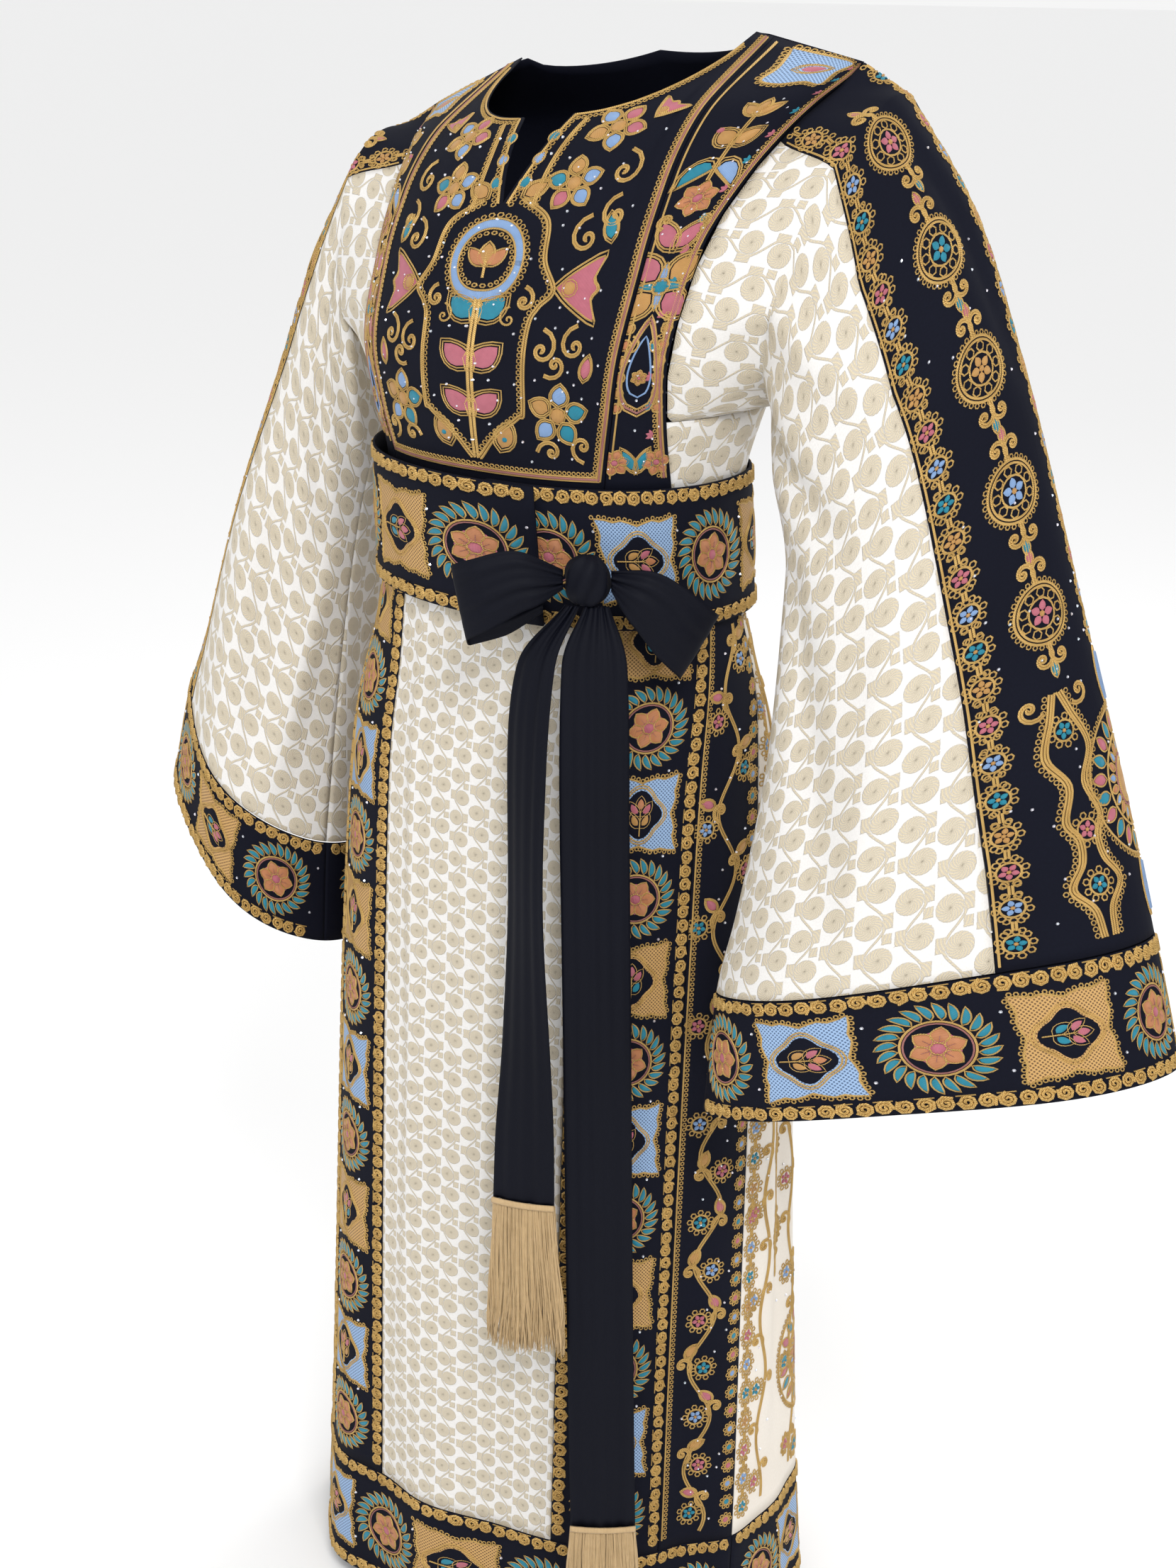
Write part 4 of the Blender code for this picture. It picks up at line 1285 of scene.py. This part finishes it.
def scatter(pen, seed, count, across, low, high, on_cloth=None):
    chance = np.random.default_rng(seed)
    placed = []
    for _ in range(count * 6):
        spot = complex(chance.uniform(-across, across), chance.uniform(low, high))
        if on_cloth and not on_cloth(spot):
            continue
        if all(abs(spot - other) > 0.011 for other in placed):
            placed.append(spot)
            pen.gem(spot, 0.0013)
        if len(placed) >= count:
            break


def border(pen, line, side, far=0.0):
    """Gold cord, pink line, gold cord, then loops on the inner side."""
    line = np.asarray(line, dtype=complex)
    inner = 1j * unit(np.gradient(line)) * side
    pen.cord(line + inner * far, THIN)
    pen.cord(line + inner * (far + 0.0018), 0.0011, "pink")
    pen.cord(line + inner * (far + 0.0036), THIN)
    loops(pen, line + inner * (far + 0.0042), side)


def lay(name, pen, region):
    """Puts a panel's stitching on its cloth as one object."""
    places = np.concatenate(pen.parts)
    points = region.at(places)
    thing = new_object(name + "_stitches", points, pen.faces, np.concatenate(pen.uvs), SLOTS, pen.picks)
    flags = np.array([pick != SLOT_INDEX["gem"] for pick in pen.picks])
    thing.data.polygons.foreach_set("use_smooth", flags)
    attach(thing, "root")
    return thing


# Where the motifs go, panel by panel

def width_at(region, t):
    return float(np.interp(t, region.rise, region.width))


def side_line(region, share, low, high, count=60, inset=0.0):
    """A line up a panel at this share of its half width, this far in from it."""
    at = np.linspace(low, high, count)
    half = np.array([width_at(region, t) / 2 for t in at])
    return share * (half - inset) + 1j * at


def level_rise(region, levels, level):
    return float(np.interp(level, levels, region.rise))


def neck_line(region, levels, shares):
    """The neckline and slit edge in the flat map's own coordinates."""
    line = []
    for x in shares:
        top = front_top(x) if abs(x) < NECK_HALF else SHOULDER
        limit = chest_seam(top) - SEAM_DEGREES
        angle = math.copysign(degrees_for_share(abs(x) / CHEST_TOP_HALF, limit, top), x)
        t = level_rise(region, levels, top)
        line.append(complex(angle / limit * width_at(region, t) / 2, t))
    return np.array(line)


# The chest's motifs beside its middle: how far across, measured up from which foot, how far up, and then
# radius, colours and turn; size and lean; length, width, colour and lean; size, up or down, lean and hand
CHEST_FRAME = (
    (0.014, "slit", 0.004), (0.040, "slit", -0.014), (0.046, "slit", -0.046), (0.058, "slit", -0.068),
    (0.047, "slit", -0.082), (0.041, "slit", -0.100), (0.041, "stem", 0.048), (0.036, "stem", 0.040),
    (0.016, "stem", 0.022), (0.002, "stem", 0.000),
)
CHEST_FLOWERS = (
    (0.052, "slit", 0.016, 0.0235, ("sky", "tan", "teal", "rose", "sky"), 0.4),
    (0.068, "slit", 0.068, 0.0250, ("rose", "sky", "tan", "sky", "rose"), 1.1),
    (0.072, "stem", 0.044, 0.0275, ("teal", "sky", "tan", "sky", "teal"), 0.2),
)
CHEST_BELLS = (
    (0.060, "slit", -0.066, 0.040, UP),
    (0.096, "slit", 0.078, 0.022, 0.5),
)
CHEST_PETALS = (
    (0.013, "slit", 0.006, 0.021, 0.0065, "tan", 1.0),
    (0.020, "stem", 0.010, 0.026, 0.0080, "tan", 0.35),
    (0.100, "slit", -0.030, 0.022, 0.0055, "teal", -0.3),
    (0.096, "stem", 0.075, 0.020, 0.0050, "rose", 0.2),
)
CHEST_CROOKS = (
    (0.092, "slit", 0.044, 0.0192, -1, 0.0, -1),
    (0.098, "slit", 0.006, 0.0166, -1, 0.0, 1),
    (0.078, "slit", -0.010, 0.0179, -1, 0.0, 1),
    (0.086, "slit", -0.094, 0.0166, -1, 0.0, 1),
    (0.056, "slit", -0.098, 0.0166, -1, 0.0, -1),
    (0.094, "stem", 0.004, 0.0141, 1, 0.0, -1),
    (0.052, "stem", 0.012, 0.0128, 1, UP, -1),
    (0.060, "stem", 0.078, 0.0128, 1, 0.8, 1),
    (0.034, "slit", -0.066, 0.0115, -1, 0.0, -1),
)


def chest_side(pen, top, stem_low, side):
    feet = {"slit": top, "stem": stem_low}

    def spot(across, foot, up):
        return complex(side * across, feet[foot] + up)

    frame_line = curve([spot(*place) for place in CHEST_FRAME], 7)
    pen.cords(frame_line, *STEM)
    loops(pen, frame_line - side * 0.0012, -side, 0.0047, 0.0018)
    for across, foot, up, radius, slots, turn in CHEST_FLOWERS:
        flower(pen, spot(across, foot, up), radius, slots, turn)
    for across, foot, up, size, lean in CHEST_BELLS:
        bell(pen, spot(across, foot, up), size, UP - side * lean)
    for across, foot, up, length, width, slot, lean in CHEST_PETALS:
        petal(pen, spot(across, foot, up), UP - side * lean, length, width, slot, double=True)
    for across, foot, up, size, aim, lean, hand in CHEST_CROOKS:
        crook(pen, spot(across, foot, up), size, aim * UP - side * lean, side * hand, True)
    pen.dot(spot(0.024, "stem", 0.020), 0.0028, 7, "teal", 0.0021)
    crook(pen, spot(0.024, "slit", -0.082), 0.0102, -UP, side)


def chest(pen, flat, levels):
    """An oval under the neck slit, a leafy stem below it, and flowers, bells and spirals to both sides."""
    top = level_rise(flat, levels, NECK - SLIT_DEPTH)
    low = UNDER_BELT + 0.002
    high = flat.height - 0.004
    for side in (-1, 1):
        line = side_line(flat, side, low - 0.006, high, 80, 0.0042)
        border(pen, line, side)
    half = width_at(flat, low) / 2 - 0.006
    border(pen, np.linspace(-half, half, 30) + 1j * (low - 0.006), 1)
    near = np.linspace(0.0006, SLIT_HALF, 10)
    far = np.linspace(SLIT_HALF, NECK_HALF - 0.001, 26)[1:]
    for side in (-1, 1):
        edge = neck_line(flat, levels, side * np.concatenate([near, far]))
        edge = edge - 0.0022j
        edge = edge + side * np.concatenate([np.full(10, 0.0028), np.linspace(0.002, 0.0, 25)])
        pen.cord(edge, 0.0010)
        loops(pen, edge - 0.0022j, -side, 0.0046, 0.0018)
        slit = side * 0.0235 + side * 0.013 * np.linspace(0, 1, 12) ** 2 + 1j * np.linspace(top - 0.004,
                                                                                            top + 0.078, 12)
        pen.cords(slit, 0.0020)
        loops(pen, slit, -side, 0.0050, 0.0018)
        for step in range(3):
            petal(pen, complex(side * (0.0085 + 0.0035 * step), top + 0.012 + 0.021 * step),
                  UP - side * 0.35,
                  0.013, 0.0042, ("teal", "sky", "teal")[step], half=0.0007)
    oval = complex(0, top - 0.046)
    count = 44
    turn = np.linspace(0, 2 * math.pi, count, endpoint=False)
    egg = np.cos(turn) * 0.0265 + 1j * np.sin(turn) * 0.0325
    pen.add(
        np.concatenate([oval + egg, oval + egg * 0.9, oval + egg * 0.80]),
        np.repeat([0.0003, 0.0011, 0.0003], count),
        [
            (row + k, row + (k + 1) % count, row + count + (k + 1) % count, row + count + k)
            for row in (0, count) for k in range(count)
        ],
        np.column_stack([np.tile(turn * 0.0265, 3), np.repeat([0.0, 0.003, 0.006], count)]),
        "sky",
    )
    for grow in (1.03, 0.77):
        pen.cord(oval + egg * grow, THIN, closed=True)
    loops(pen, oval + rejoined(egg) * 1.05, -1, 0.0050, 0.0019)
    loops(pen, oval + rejoined(egg) * 0.60, -1, 0.0042, 0.0015)
    pen.cord(oval + 1j * np.linspace(-0.015, 0.006, 8), THIN)
    for aim, slot in ((UP, "tan"), (UP - 0.7, "peach"), (UP + 0.7, "peach")):
        petal(pen, oval - 0.006j, aim, 0.0205, 0.0050, slot)
    stem_low, stem_high = low + 0.006, top - 0.083
    pen.cords(1j * np.linspace(stem_low, top - 0.078, 20), *STEM)
    span = stem_high - stem_low
    for share, slot in ((0.36, "rose"), (0.66, "rose"), (0.96, "teal")):
        leaf_pair(pen, 1j * (stem_low + span * share - 0.006), UP, 0.0285, 0.0092, slot, 0.80)
    for side in (-1, 1):
        chest_side(pen, top, stem_low, side)

    def below_neck(spot):
        edge = front_top(max(0.0, abs(spot.real) - 0.006))
        return spot.imag + 0.007 < level_rise(flat, levels, edge)

    scatter(pen, 5, 130, 0.112, low + 0.008, top + 0.075, below_neck)


def chest_back(pen, flat, levels):
    """The back is not in the photo: the same kinds of motif, set out more simply."""
    low, high = UNDER_BELT + 0.002, level_rise(flat, levels, SHOULDER - 0.62)
    for side in (-1, 1):
        edge = side * 0.118 + 1j * np.linspace(low - 0.006, high, 50)
        border(pen, edge, side)
    border(pen, np.linspace(-0.116, 0.116, 30) + 1j * (low - 0.006), 1)
    neck = []
    for x in np.linspace(-NECK_HALF, NECK_HALF, 40):
        level = neck_top(x, NECK_BACK_DEPTH)
        neck.append(complex(x, level_rise(flat, levels, level) - 0.004))
    pen.cord(np.array(neck), 0.0010)
    loops(pen, np.array(neck) - 0.0022j, -1, 0.0046, 0.0018)
    middle = 1j * (low + (high - low) * 0.58)
    medallion(pen, middle, 0.040, 0.1)
    for spot in circle(middle, 0.048, 30):
        pen.ring(spot, 0.0022, 7, 0.0006)
    pen.cords(1j * np.linspace(low + 0.006, middle.imag - 0.051, 20), *STEM)
    for step, slot in enumerate(("rose", "teal", "rose")):
        leaf_pair(pen, 1j * (low + 0.018 + 0.026 * step), UP, 0.0225, 0.0066, slot, 0.80)
    for side in (-1, 1):
        flower(pen, complex(side * 0.070, low + 0.048), 0.019, ("teal", "sky", "tan"), 0.3)
        flower(pen, complex(side * 0.082, middle.imag + 0.030), 0.018, ("rose", "sky", "tan"), 1.0)
        bell(pen, complex(side * 0.064, middle.imag - 0.022), 0.028, 0.0 if side > 0 else math.pi)
        crook(pen, complex(side * 0.045, low + 0.090), 0.011, UP, -side, True)
        crook(pen, complex(side * 0.060, middle.imag + 0.075), 0.011, UP, side, True)
        crook(pen, complex(side * 0.026, middle.imag + 0.066), 0.010, UP, -side, True)
    scatter(pen, 8, 70, 0.105, low + 0.01, high - 0.02)


def front_strip(pen, region, side):
    """side is 1 where the armhole lies at the panel's right."""
    h = region.height
    arm = side_line(region, side, UNDER_BELT, h - 0.004, 80, 0.0038)
    pen.cord(arm, THIN)
    pen.cord(arm - side * 0.0020, 0.0011, "pink")
    pen.cord(arm - side * 0.0040, THIN)
    loops(pen, arm - side * 0.0046, side, 0.0046, 0.0015)
    for step, (here, way) in enumerate(beads_on(arm - side * 0.0085, 0.026)):
        for swing in (-0.7, 0.0, 0.7):
            line = petal_line(here, UP + side * 1.2 + swing, 0.0065, 0.0015)
            pen.fill(line, ("teal", "rose")[step % 2], 0.0008)
    seam = side_line(region, -side, UNDER_BELT, h - 0.004, 80, 0.0032)
    pen.cord(seam, THIN)

    def mid(drop, share=0.0):
        t = h - drop
        wide = width_at(region, t)
        return complex(-side * 0.003 + side * share * wide / 2, t)

    shoulder = mid(0.030)
    net_half = min(0.026, width_at(region, h - 0.03) * 0.38)
    corners = (-0.95 + 0.95j, 0.95 + 0.95j, 0.80 + 0.10j, 0.95 - 0.85j, 0.30 - 0.70j, -0.35 - 0.90j,
               -0.95 - 0.70j, -0.85, -0.95 + 0.95j)
    ground = curve([shoulder + net_half * spot for spot in corners], 4)[:-1]
    pen.net(ground, "blue_net")
    pen.cord(ground, 0.0010, closed=True)
    loops(pen, rejoined(ground), 1, 0.0048, 0.0018)
    petal(pen, shoulder - 0.4 * net_half, 0.35, net_half * 0.95, net_half * 0.24, "rose", double=True)
    for swing in (-0.8, 0.0, 0.8):
        petal(pen, mid(0.096), UP + swing, 0.020, 0.0050, "tan", double=True)
    leaf_pair(pen, mid(0.128), UP, 0.024, 0.0080, "tan", 0.8)
    pen.dot(mid(0.112, -0.42), 0.0030, 8, "rose", 0.0020)
    pen.cords(1j * np.linspace(h - 0.162, h - 0.096, 10) + mid(0.13).real, 0.0020, 0.0008)
    for turn in (1, -1):
        base = mid(0.150)
        petal(pen, base, UP + turn * 1.35, 0.030, 0.0080, ("sky", "teal")[turn > 0], bend=turn * 0.9,
              double=True)
    bloom(pen, mid(0.178), 0.0160, 0.4, "peach", "rose")
    for turn in (1, -1):
        petal(pen, mid(0.222), UP + turn * 0.62, 0.030, 0.0075, "rose", double=True)
    heart = mid(0.252)
    for step, slot in enumerate(("tan", "rose", "tan", "rose")):
        petal(pen, heart + 0.006 * heading(0.8 + step * UP), 0.8 + step * UP, 0.030, 0.0105, slot,
              double=True, half=0.0008)
    pen.dot(heart, 0.0058, 12, "teal", 0.0019)
    pen.ring(heart, 0.0068, 14, 0.0009, high=2.2)
    for step in range(4):
        petal(pen, heart, 0.8 + math.pi / 4 + step * UP, 0.020, 0.0032, ("sky", "teal")[step % 2])
    drop_at = h - 0.318
    if drop_at - 0.034 > UNDER_BELT:
        teardrop(pen, mid(0.318), 0.086, min(0.028, width_at(region, drop_at) * 0.40), UP)
        for turn in (-1, 1):
            for step in range(6):
                spot = mid(0.286 + 0.0135 * step, turn * 0.78)
                pen.dot(spot, 0.0036, 8, ("tan", "peach")[step % 2], 0.0009)
                pen.ring(spot, 0.0046, 10, 0.0007)
    for turn in (-1, 1):
        bloom(pen, complex(mid(0.3).real + turn * 0.0175, 0.089), 0.0125, 0.2, "peach", "rose")
        petal(pen, complex(mid(0.3).real, 0.080), UP + turn * 0.5, 0.024, 0.0045, "teal", double=True)
        crook(pen, mid(0.205, turn * 0.62), 0.008, UP, turn, True)
        crook(pen, mid(0.292, turn * 0.55), 0.009, -UP, turn)
    scatter(pen, 21 if side > 0 else 22, 56, 0.026, 0.08, h - 0.07)


def skirt_strip(pen, region, side):
    """A winding stem with curls and small flowers; rings of small flowers on the outer edge."""
    h = region.height
    outer = side_line(region, side, 0.01, h - 0.06, 60, 0.0085)
    for step, (here, way) in enumerate(beads_on(outer, 0.019)):
        ring_flower(pen, here, 0.0070, ("rose", "teal", "sky")[step % 3], 0.3 * step)
    inner = side_line(region, -side, 0.01, h - 0.06, 60, 0.0030)
    pen.cord(inner, THIN)
    loops(pen, inner + side * 0.001, -side, 0.0047, 0.0016)
    at = np.linspace(0.012, h - 0.065, 150)
    wide = np.array([width_at(region, t) for t in at])
    stem = -side * 0.004 + np.sin(at * 2 * math.pi / 0.105) * wide * 0.15 + 1j * at
    pen.cords(stem, 0.0020, 0.0008)
    for step, (here, way) in enumerate(beads_on(stem, 0.0525)):
        hand = 1 if step % 2 else -1
        crook(pen, here, 0.0105, angle_of(way) + hand * 0.5, hand, True)
        looped_flower(pen, here + 1j * way * hand * -0.0135, 0.0105, ("teal", "rose", "sky")[step % 3],
                      0.5 * step)
        petal(pen, here + way * 0.016, angle_of(way) - hand * 0.9, 0.015, 0.0042, ("rose", "tan")[step % 2],
              double=True)
    scatter(pen, 31 if side > 0 else 32, 60, 0.020, 0.02, h - 0.07)


def skirt_side(pen, region, side):
    """Cream side panels: a chain of large medallions between winding stems, and a half sun low down."""
    h = region.height
    large_chain(pen, region, -0.06, 0.235, h - 0.10, 0.082, side)
    for share, phase in ((-0.52, 0.0), (0.42, 0.5)):
        at = np.linspace(0.02, h * 0.92, 170)
        wide = np.array([width_at(region, t) for t in at])
        stem = side * wide * share / 2 + np.sin((at / 0.12 + phase) * 2 * math.pi) * wide * 0.035 + 1j * at
        pen.cords(stem, 0.0019, 0.0008)
        for step, (here, way) in enumerate(beads_on(stem, 0.048)):
            hand = 1 if step % 2 else -1
            crook(pen, here, 0.0100, angle_of(way) + hand * 0.8, hand, True)
            if step % 2 == 0:
                looped_flower(pen, here + 1j * way * hand * -0.012, 0.0100,
                              ("rose", "teal", "sky")[step // 2 % 3])
    outer = side_line(region, -side, 0.01, h - 0.05, 60, 0.0120)
    flower_chain(pen, outer, 0.0290, 0.0098)
    edge = width_at(region, 0.14) / 2
    sun(pen, complex(side * (edge - 0.012), 0.130), 0.058, UP if side > 0 else -UP, math.pi)
    for rise in (0.030, 0.215):
        looped_flower(pen, complex(side * (edge - 0.030), rise), 0.0120, "teal")
    scatter(pen, 41 if side > 0 else 42, 90, 0.085, 0.02, h - 0.07)


def looped_flower(pen, at, radius, slot, angle=0.0):
    """A small flower inside a ring of cord loops."""
    for turn in angle + 2 * math.pi * np.arange(5) / 5:
        leaf = petal_line(at + radius * 0.12 * heading(turn), turn, radius * 0.50, radius * 0.19, count=5)
        pen.fill(leaf, slot, 0.0012, turn)
    pen.dot(at, radius * 0.15, 6, "tan", 0.0018)
    pen.ring(at, radius * 0.70, 16, 0.0008)
    for spot in circle(at, radius * 0.95, 9, angle):
        pen.ring(spot, radius * 0.22, 6, 0.00065)


def flower_chain(pen, line, pitch, radius):
    """Looped flowers joined by a waving pair of cords."""
    for step, (here, way) in enumerate(beads_on(line, pitch)):
        looped_flower(pen, here, radius, ("teal", "sky", "rose", "tan")[step % 4], 0.4 * step)
        ahead = here + way * np.linspace(radius * 1.02, pitch - radius * 1.02, 7)
        pen.cords(ahead, *STEM)
        for hand in (-1, 1):
            for share in (0.36, 0.64):
                pen.ring(here + way * pitch * share + 1j * way * hand * 0.0042, 0.0021, 7, 0.00060)


def large_chain(pen, region, share, low, high, pitch, first):
    """Round medallions down a panel, joined by stems with paired spirals and buds."""
    count = max(1, int((high - low) / pitch))
    for step in range(count):
        t = low + (high - low) * (step + 0.5) / count
        wide = width_at(region, t)
        room = max(0.006, wide / 4 - 0.018)
        radius = min(0.0230, room * 0.80)
        at = complex(wide / 2 * share, t)
        gap = (high - low) / count / 2
        ring = circle(at, radius, 34)
        pen.cord(ring, 0.0010, closed=True)
        pen.ring(at, radius * 0.88, 34, 0.0009)
        loops(pen, rejoined(ring), -1, 0.0050, 0.0018)
        looped_flower(pen, at, radius * 0.72, ("rose", "sky", "tan", "teal")[(step + first) % 4],
                      0.3 * step)
        for way in (1, -1):
            reach = min(gap, radius + 0.030)
            pen.cords(at + 1j * way * np.linspace(radius, reach, 8), *STEM)
            for hand in (-1, 1):
                foot = at + 1j * way * (radius + 0.004)
                crook(pen, foot, min(0.0105, room * 0.40), way * UP - way * hand * 0.9, -hand * way, True)
            petal(pen, at + 1j * way * (reach - 0.010), way * UP, 0.013, 0.0035, ("teal", "rose")[way > 0])


# One side of the vase at the foot of the sleeve: how far out from its middle, and how high
VASE_SIDE = (
    (0.006, 0.012), (0.009, 0.034), (0.022, 0.052), (0.011, 0.070), (0.009, 0.088),
    (0.016, 0.104), (0.008, 0.130), (0.020, 0.156), (0.010, 0.184), (0.004, 0.202),
)


def sleeve_top(pen, region, side):
    """Flower chains at the seams and the top, medallion chains, vases, a sun between blue rings."""
    h = region.height
    for edge, low in ((-1, 0.006), (0, 0.222), (1, 0.006)):
        line = side_line(region, edge, low, h - 0.008, 90, 0.0125)
        flower_chain(pen, line, 0.0300, 0.0108)
    for edge in (-1, 1):
        trim = side_line(region, edge, 0.004, h - 0.006, 90, 0.0022)
        pen.cord(trim, THIN)
        large_chain(pen, region, edge * 0.5, 0.215, h - 0.035, 0.088, 1 + edge)
        spot = complex(edge * width_at(region, 0.1) / 4, 0)
        for rise, slot in ((0.052, "teal"), (0.094, "rose"), (0.172, "teal")):
            looped_flower(pen, spot + 1j * rise, 0.0115, slot, rise * 40)
        for swing in (-1, 1):
            outline = curve([spot + complex(swing * out, rise) for out, rise in VASE_SIDE], 6)
            pen.cords(outline, 0.0024, 0.0010)
            pen.cord(outline - swing * 0.0034, 0.0009)
            loops(pen, outline + swing * 0.0022, -swing, 0.0052, 0.0019)
            crook(pen, spot + complex(swing * 0.012, 0.190), 0.012, UP - swing * 0.9, swing, True)
    sun(pen, complex(0, 0.118), 0.056, 0.0, 2 * math.pi)
    for rise in (0.037, 0.199):
        ring = circle(0, 0.0085, 24).real + 1.9j * circle(0, 0.0095, 24).imag
        pen.cord(1j * rise + ring, 0.0017, "sky", closed=True)
        pen.cord(1j * rise + ring * 0.62, THIN, closed=True)
        pen.cord(1j * rise + ring * 1.28, 0.0009, closed=True)
        loops(pen, 1j * rise + rejoined(ring), -1, 0.0048, 0.0016)
    scatter(pen, 51 if side > 0 else 52, 120, 0.125, 0.02, h - 0.10)


def embroider():
    chest_map, back_map = FLAT_MAPS["chest_panel"], FLAT_MAPS["bodice_back"]
    skirt = regions["skirt_band_left"].height
    work = []

    def start(name, region=None):
        pen = Pen()
        work.append((name, pen, region or regions[name]))
        return pen

    chest(start("chest_panel", chest_map), chest_map, BODICE)
    chest_back(start("bodice_back", back_map), back_map, BODICE)
    for name, side in (("left", 1), ("right", -1)):
        front_strip(start("front_strip_" + name), regions["front_strip_" + name], side)
        band(start("skirt_band_" + name), True, 0.006, skirt - 0.03, 0.0462, 0.0365, 0.0735)
        skirt_strip(start("skirt_strip_" + name), regions["skirt_strip_" + name], side)
        skirt_side(start("skirt_side_" + name), regions["skirt_side_" + name], side)
        sleeve_top(start("sleeve_top_" + name), regions["sleeve_top_" + name], side)
        cuff = regions["cuff_" + name]
        round_band(start("cuff_" + name), cuff, 0.004, min(0.0385, cuff.height / 2 - 0.013))
    for name, inset in (("hem_band_front", 0.004), ("hem_band_back", 0.004), ("belt", 0.006)):
        round_band(start(name), regions[name], inset, 0.0400)
    stitched = {name: [lay(name, pen, region)] for name, pen, region in work}


def round_band(pen, region, inset, radius):
    """A band that runs round: drawn about zero, then moved up to the band's middle."""
    reach, middle = float(region.width.min()) / 2 - inset, region.height / 2
    band(pen, False, -reach, reach, middle - 0.0068, radius)
    for part in pen.parts:
        part[:, 1] += middle


embroider()


TASSELS = (("tassel_long", TAIL_LONG[-1], 11), ("tassel_short", TAIL_SHORT[-1], 29))


def tassel(name, row, seed):
    """Silky strands hanging from a narrow bound edge."""
    chance = np.random.default_rng(seed)
    turn = math.radians(row[4])
    side_way, out_way = np.array(BOW_SIDE), np.array(BOW_OUT)
    across = side_way * math.cos(turn) + out_way * math.sin(turn)
    out = np.array([across[1], -across[0], 0.0])
    top = bow_frame(row[1], row[2], row[0] - KNOT.z - 0.0004)
    width = 2 * row[3]
    points, faces, uvs = [], [], []
    strands, steps = 420, 9
    for strand in range(strands):
        place = chance.uniform(-0.5, 0.5)
        depth = chance.uniform(-0.0017, 0.0017)
        length = TASSEL_LENGTH + 0.006 - 0.034 * chance.random() ** 2.2
        thick = chance.uniform(0.00045, 0.0008)
        phase, clump = chance.uniform(0, 6.28), round(place * 15) / 15
        start = len(points)
        for step in range(steps + 1):
            share = step / steps
            drawn = place + (clump - place) * 0.55 * share ** 0.7
            x = width * drawn * (1 + 0.30 * share) + 0.0030 * share * math.sin(phase + 6 * share)
            sway = 0.004 * share * math.sin(8 * clump + 2.6 * share)
            sway += 0.0014 * share * math.cos(phase + 4 * share)
            y = 0.003 * (1 - (2 * place) ** 2) + depth * (1 + share) + sway
            middle = top + across * x + out * y - np.array([0, 0, share * length])
            taper = thick * (1.0 if step < steps else 0.35)
            points += [middle - across * taper, middle + out * taper * 0.9, middle + across * taper]
            uvs += [(place, share * length), (place + 0.001, share * length),
                    (place + 0.002, share * length)]
        for step in range(steps):
            a = start + 3 * step
            faces += [(a, a + 1, a + 4, a + 3), (a + 1, a + 2, a + 5, a + 4)]
    thing = new_object(name + "_strands", points, faces, np.array(uvs), ["fringe"])
    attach(thing, "root")
    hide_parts(name)
    bound = np.array([
        [top + across * width * share + out * (0.003 * (1 - 4 * share * share) + face) - np.array([0, 0,
                                                                                                   drop])
         for share in spread(-0.5, 0.5, 25)]
        for face, drop in ((0.0008, -0.0010), (0.0012, 0.0004), (0.0012, 0.0018), (0.0008, 0.0030))
    ])
    uv = np.array([(share * width, drop) for drop in (0, 0.001, 0.002, 0.003) for share in spread(-0.5,
                                                                                                  0.5, 25)])
    edge = new_object(name + "_heading", bound.reshape(-1, 3), grid_faces(4, 25), uv, ["fringe"])
    wall = edge.modifiers.new("wall", "SOLIDIFY")
    wall.thickness = 0.0028
    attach(edge, "root")


for tassel_name, last_row, seed in TASSELS:
    tassel(tassel_name, last_row, seed)


# The studio: pale floor, white surround, bright soft light from the upper right

def studio():
    bpy.ops.mesh.primitive_plane_add(size=90.0, location=(0, 0, -1.4660))
    floor = bpy.context.object
    floor.name = "floor"
    pale = Tree("floor_white", 0.8, colour=(0.93, 0.93, 0.93))
    floor.data.materials.append(pale.material)
    world = bpy.data.worlds.new("studio")
    world.use_nodes = True
    world.node_tree.nodes["Background"].inputs[0].default_value = (1.0, 1.0, 1.0, 1.0)
    world.node_tree.nodes["Background"].inputs[1].default_value = 0.92
    bpy.context.scene.world = world
    for name, place, size, power in (
        ("key", (2.4, -2.6, 2.4), 1.4, 100),
        ("fill", (-2.6, -2.8, 1.2), 2.4, 18),
        ("rim", (0.6, 2.8, 2.0), 2.0, 30),
    ):
        lamp = bpy.data.lights.new(name, "AREA")
        lamp.size = size
        lamp.energy = power
        thing = bpy.data.objects.new(name, lamp)
        thing.location = place
        aim = Vector((0.0, -0.05, -0.7)) - Vector(place)
        thing.rotation_euler = aim.to_track_quat("-Z", "Y").to_euler()
        bpy.context.scene.collection.objects.link(thing)
    view = bpy.data.cameras.new("camera")
    view.sensor_fit = "VERTICAL"
    view.sensor_height = 36.0
    view.lens = 36.0 * 3600 / 2212
    eye = bpy.data.objects.new("camera", view)
    eye.location = (1.177, -1.889, 0.10)
    eye.rotation_euler = (math.radians(90 - 18.7), 0.0, math.radians(33))
    bpy.context.scene.collection.objects.link(eye)
    bpy.context.scene.camera = eye
    bpy.context.scene.view_settings.view_transform = "Standard"


studio()
bpy.context.view_layer.update()
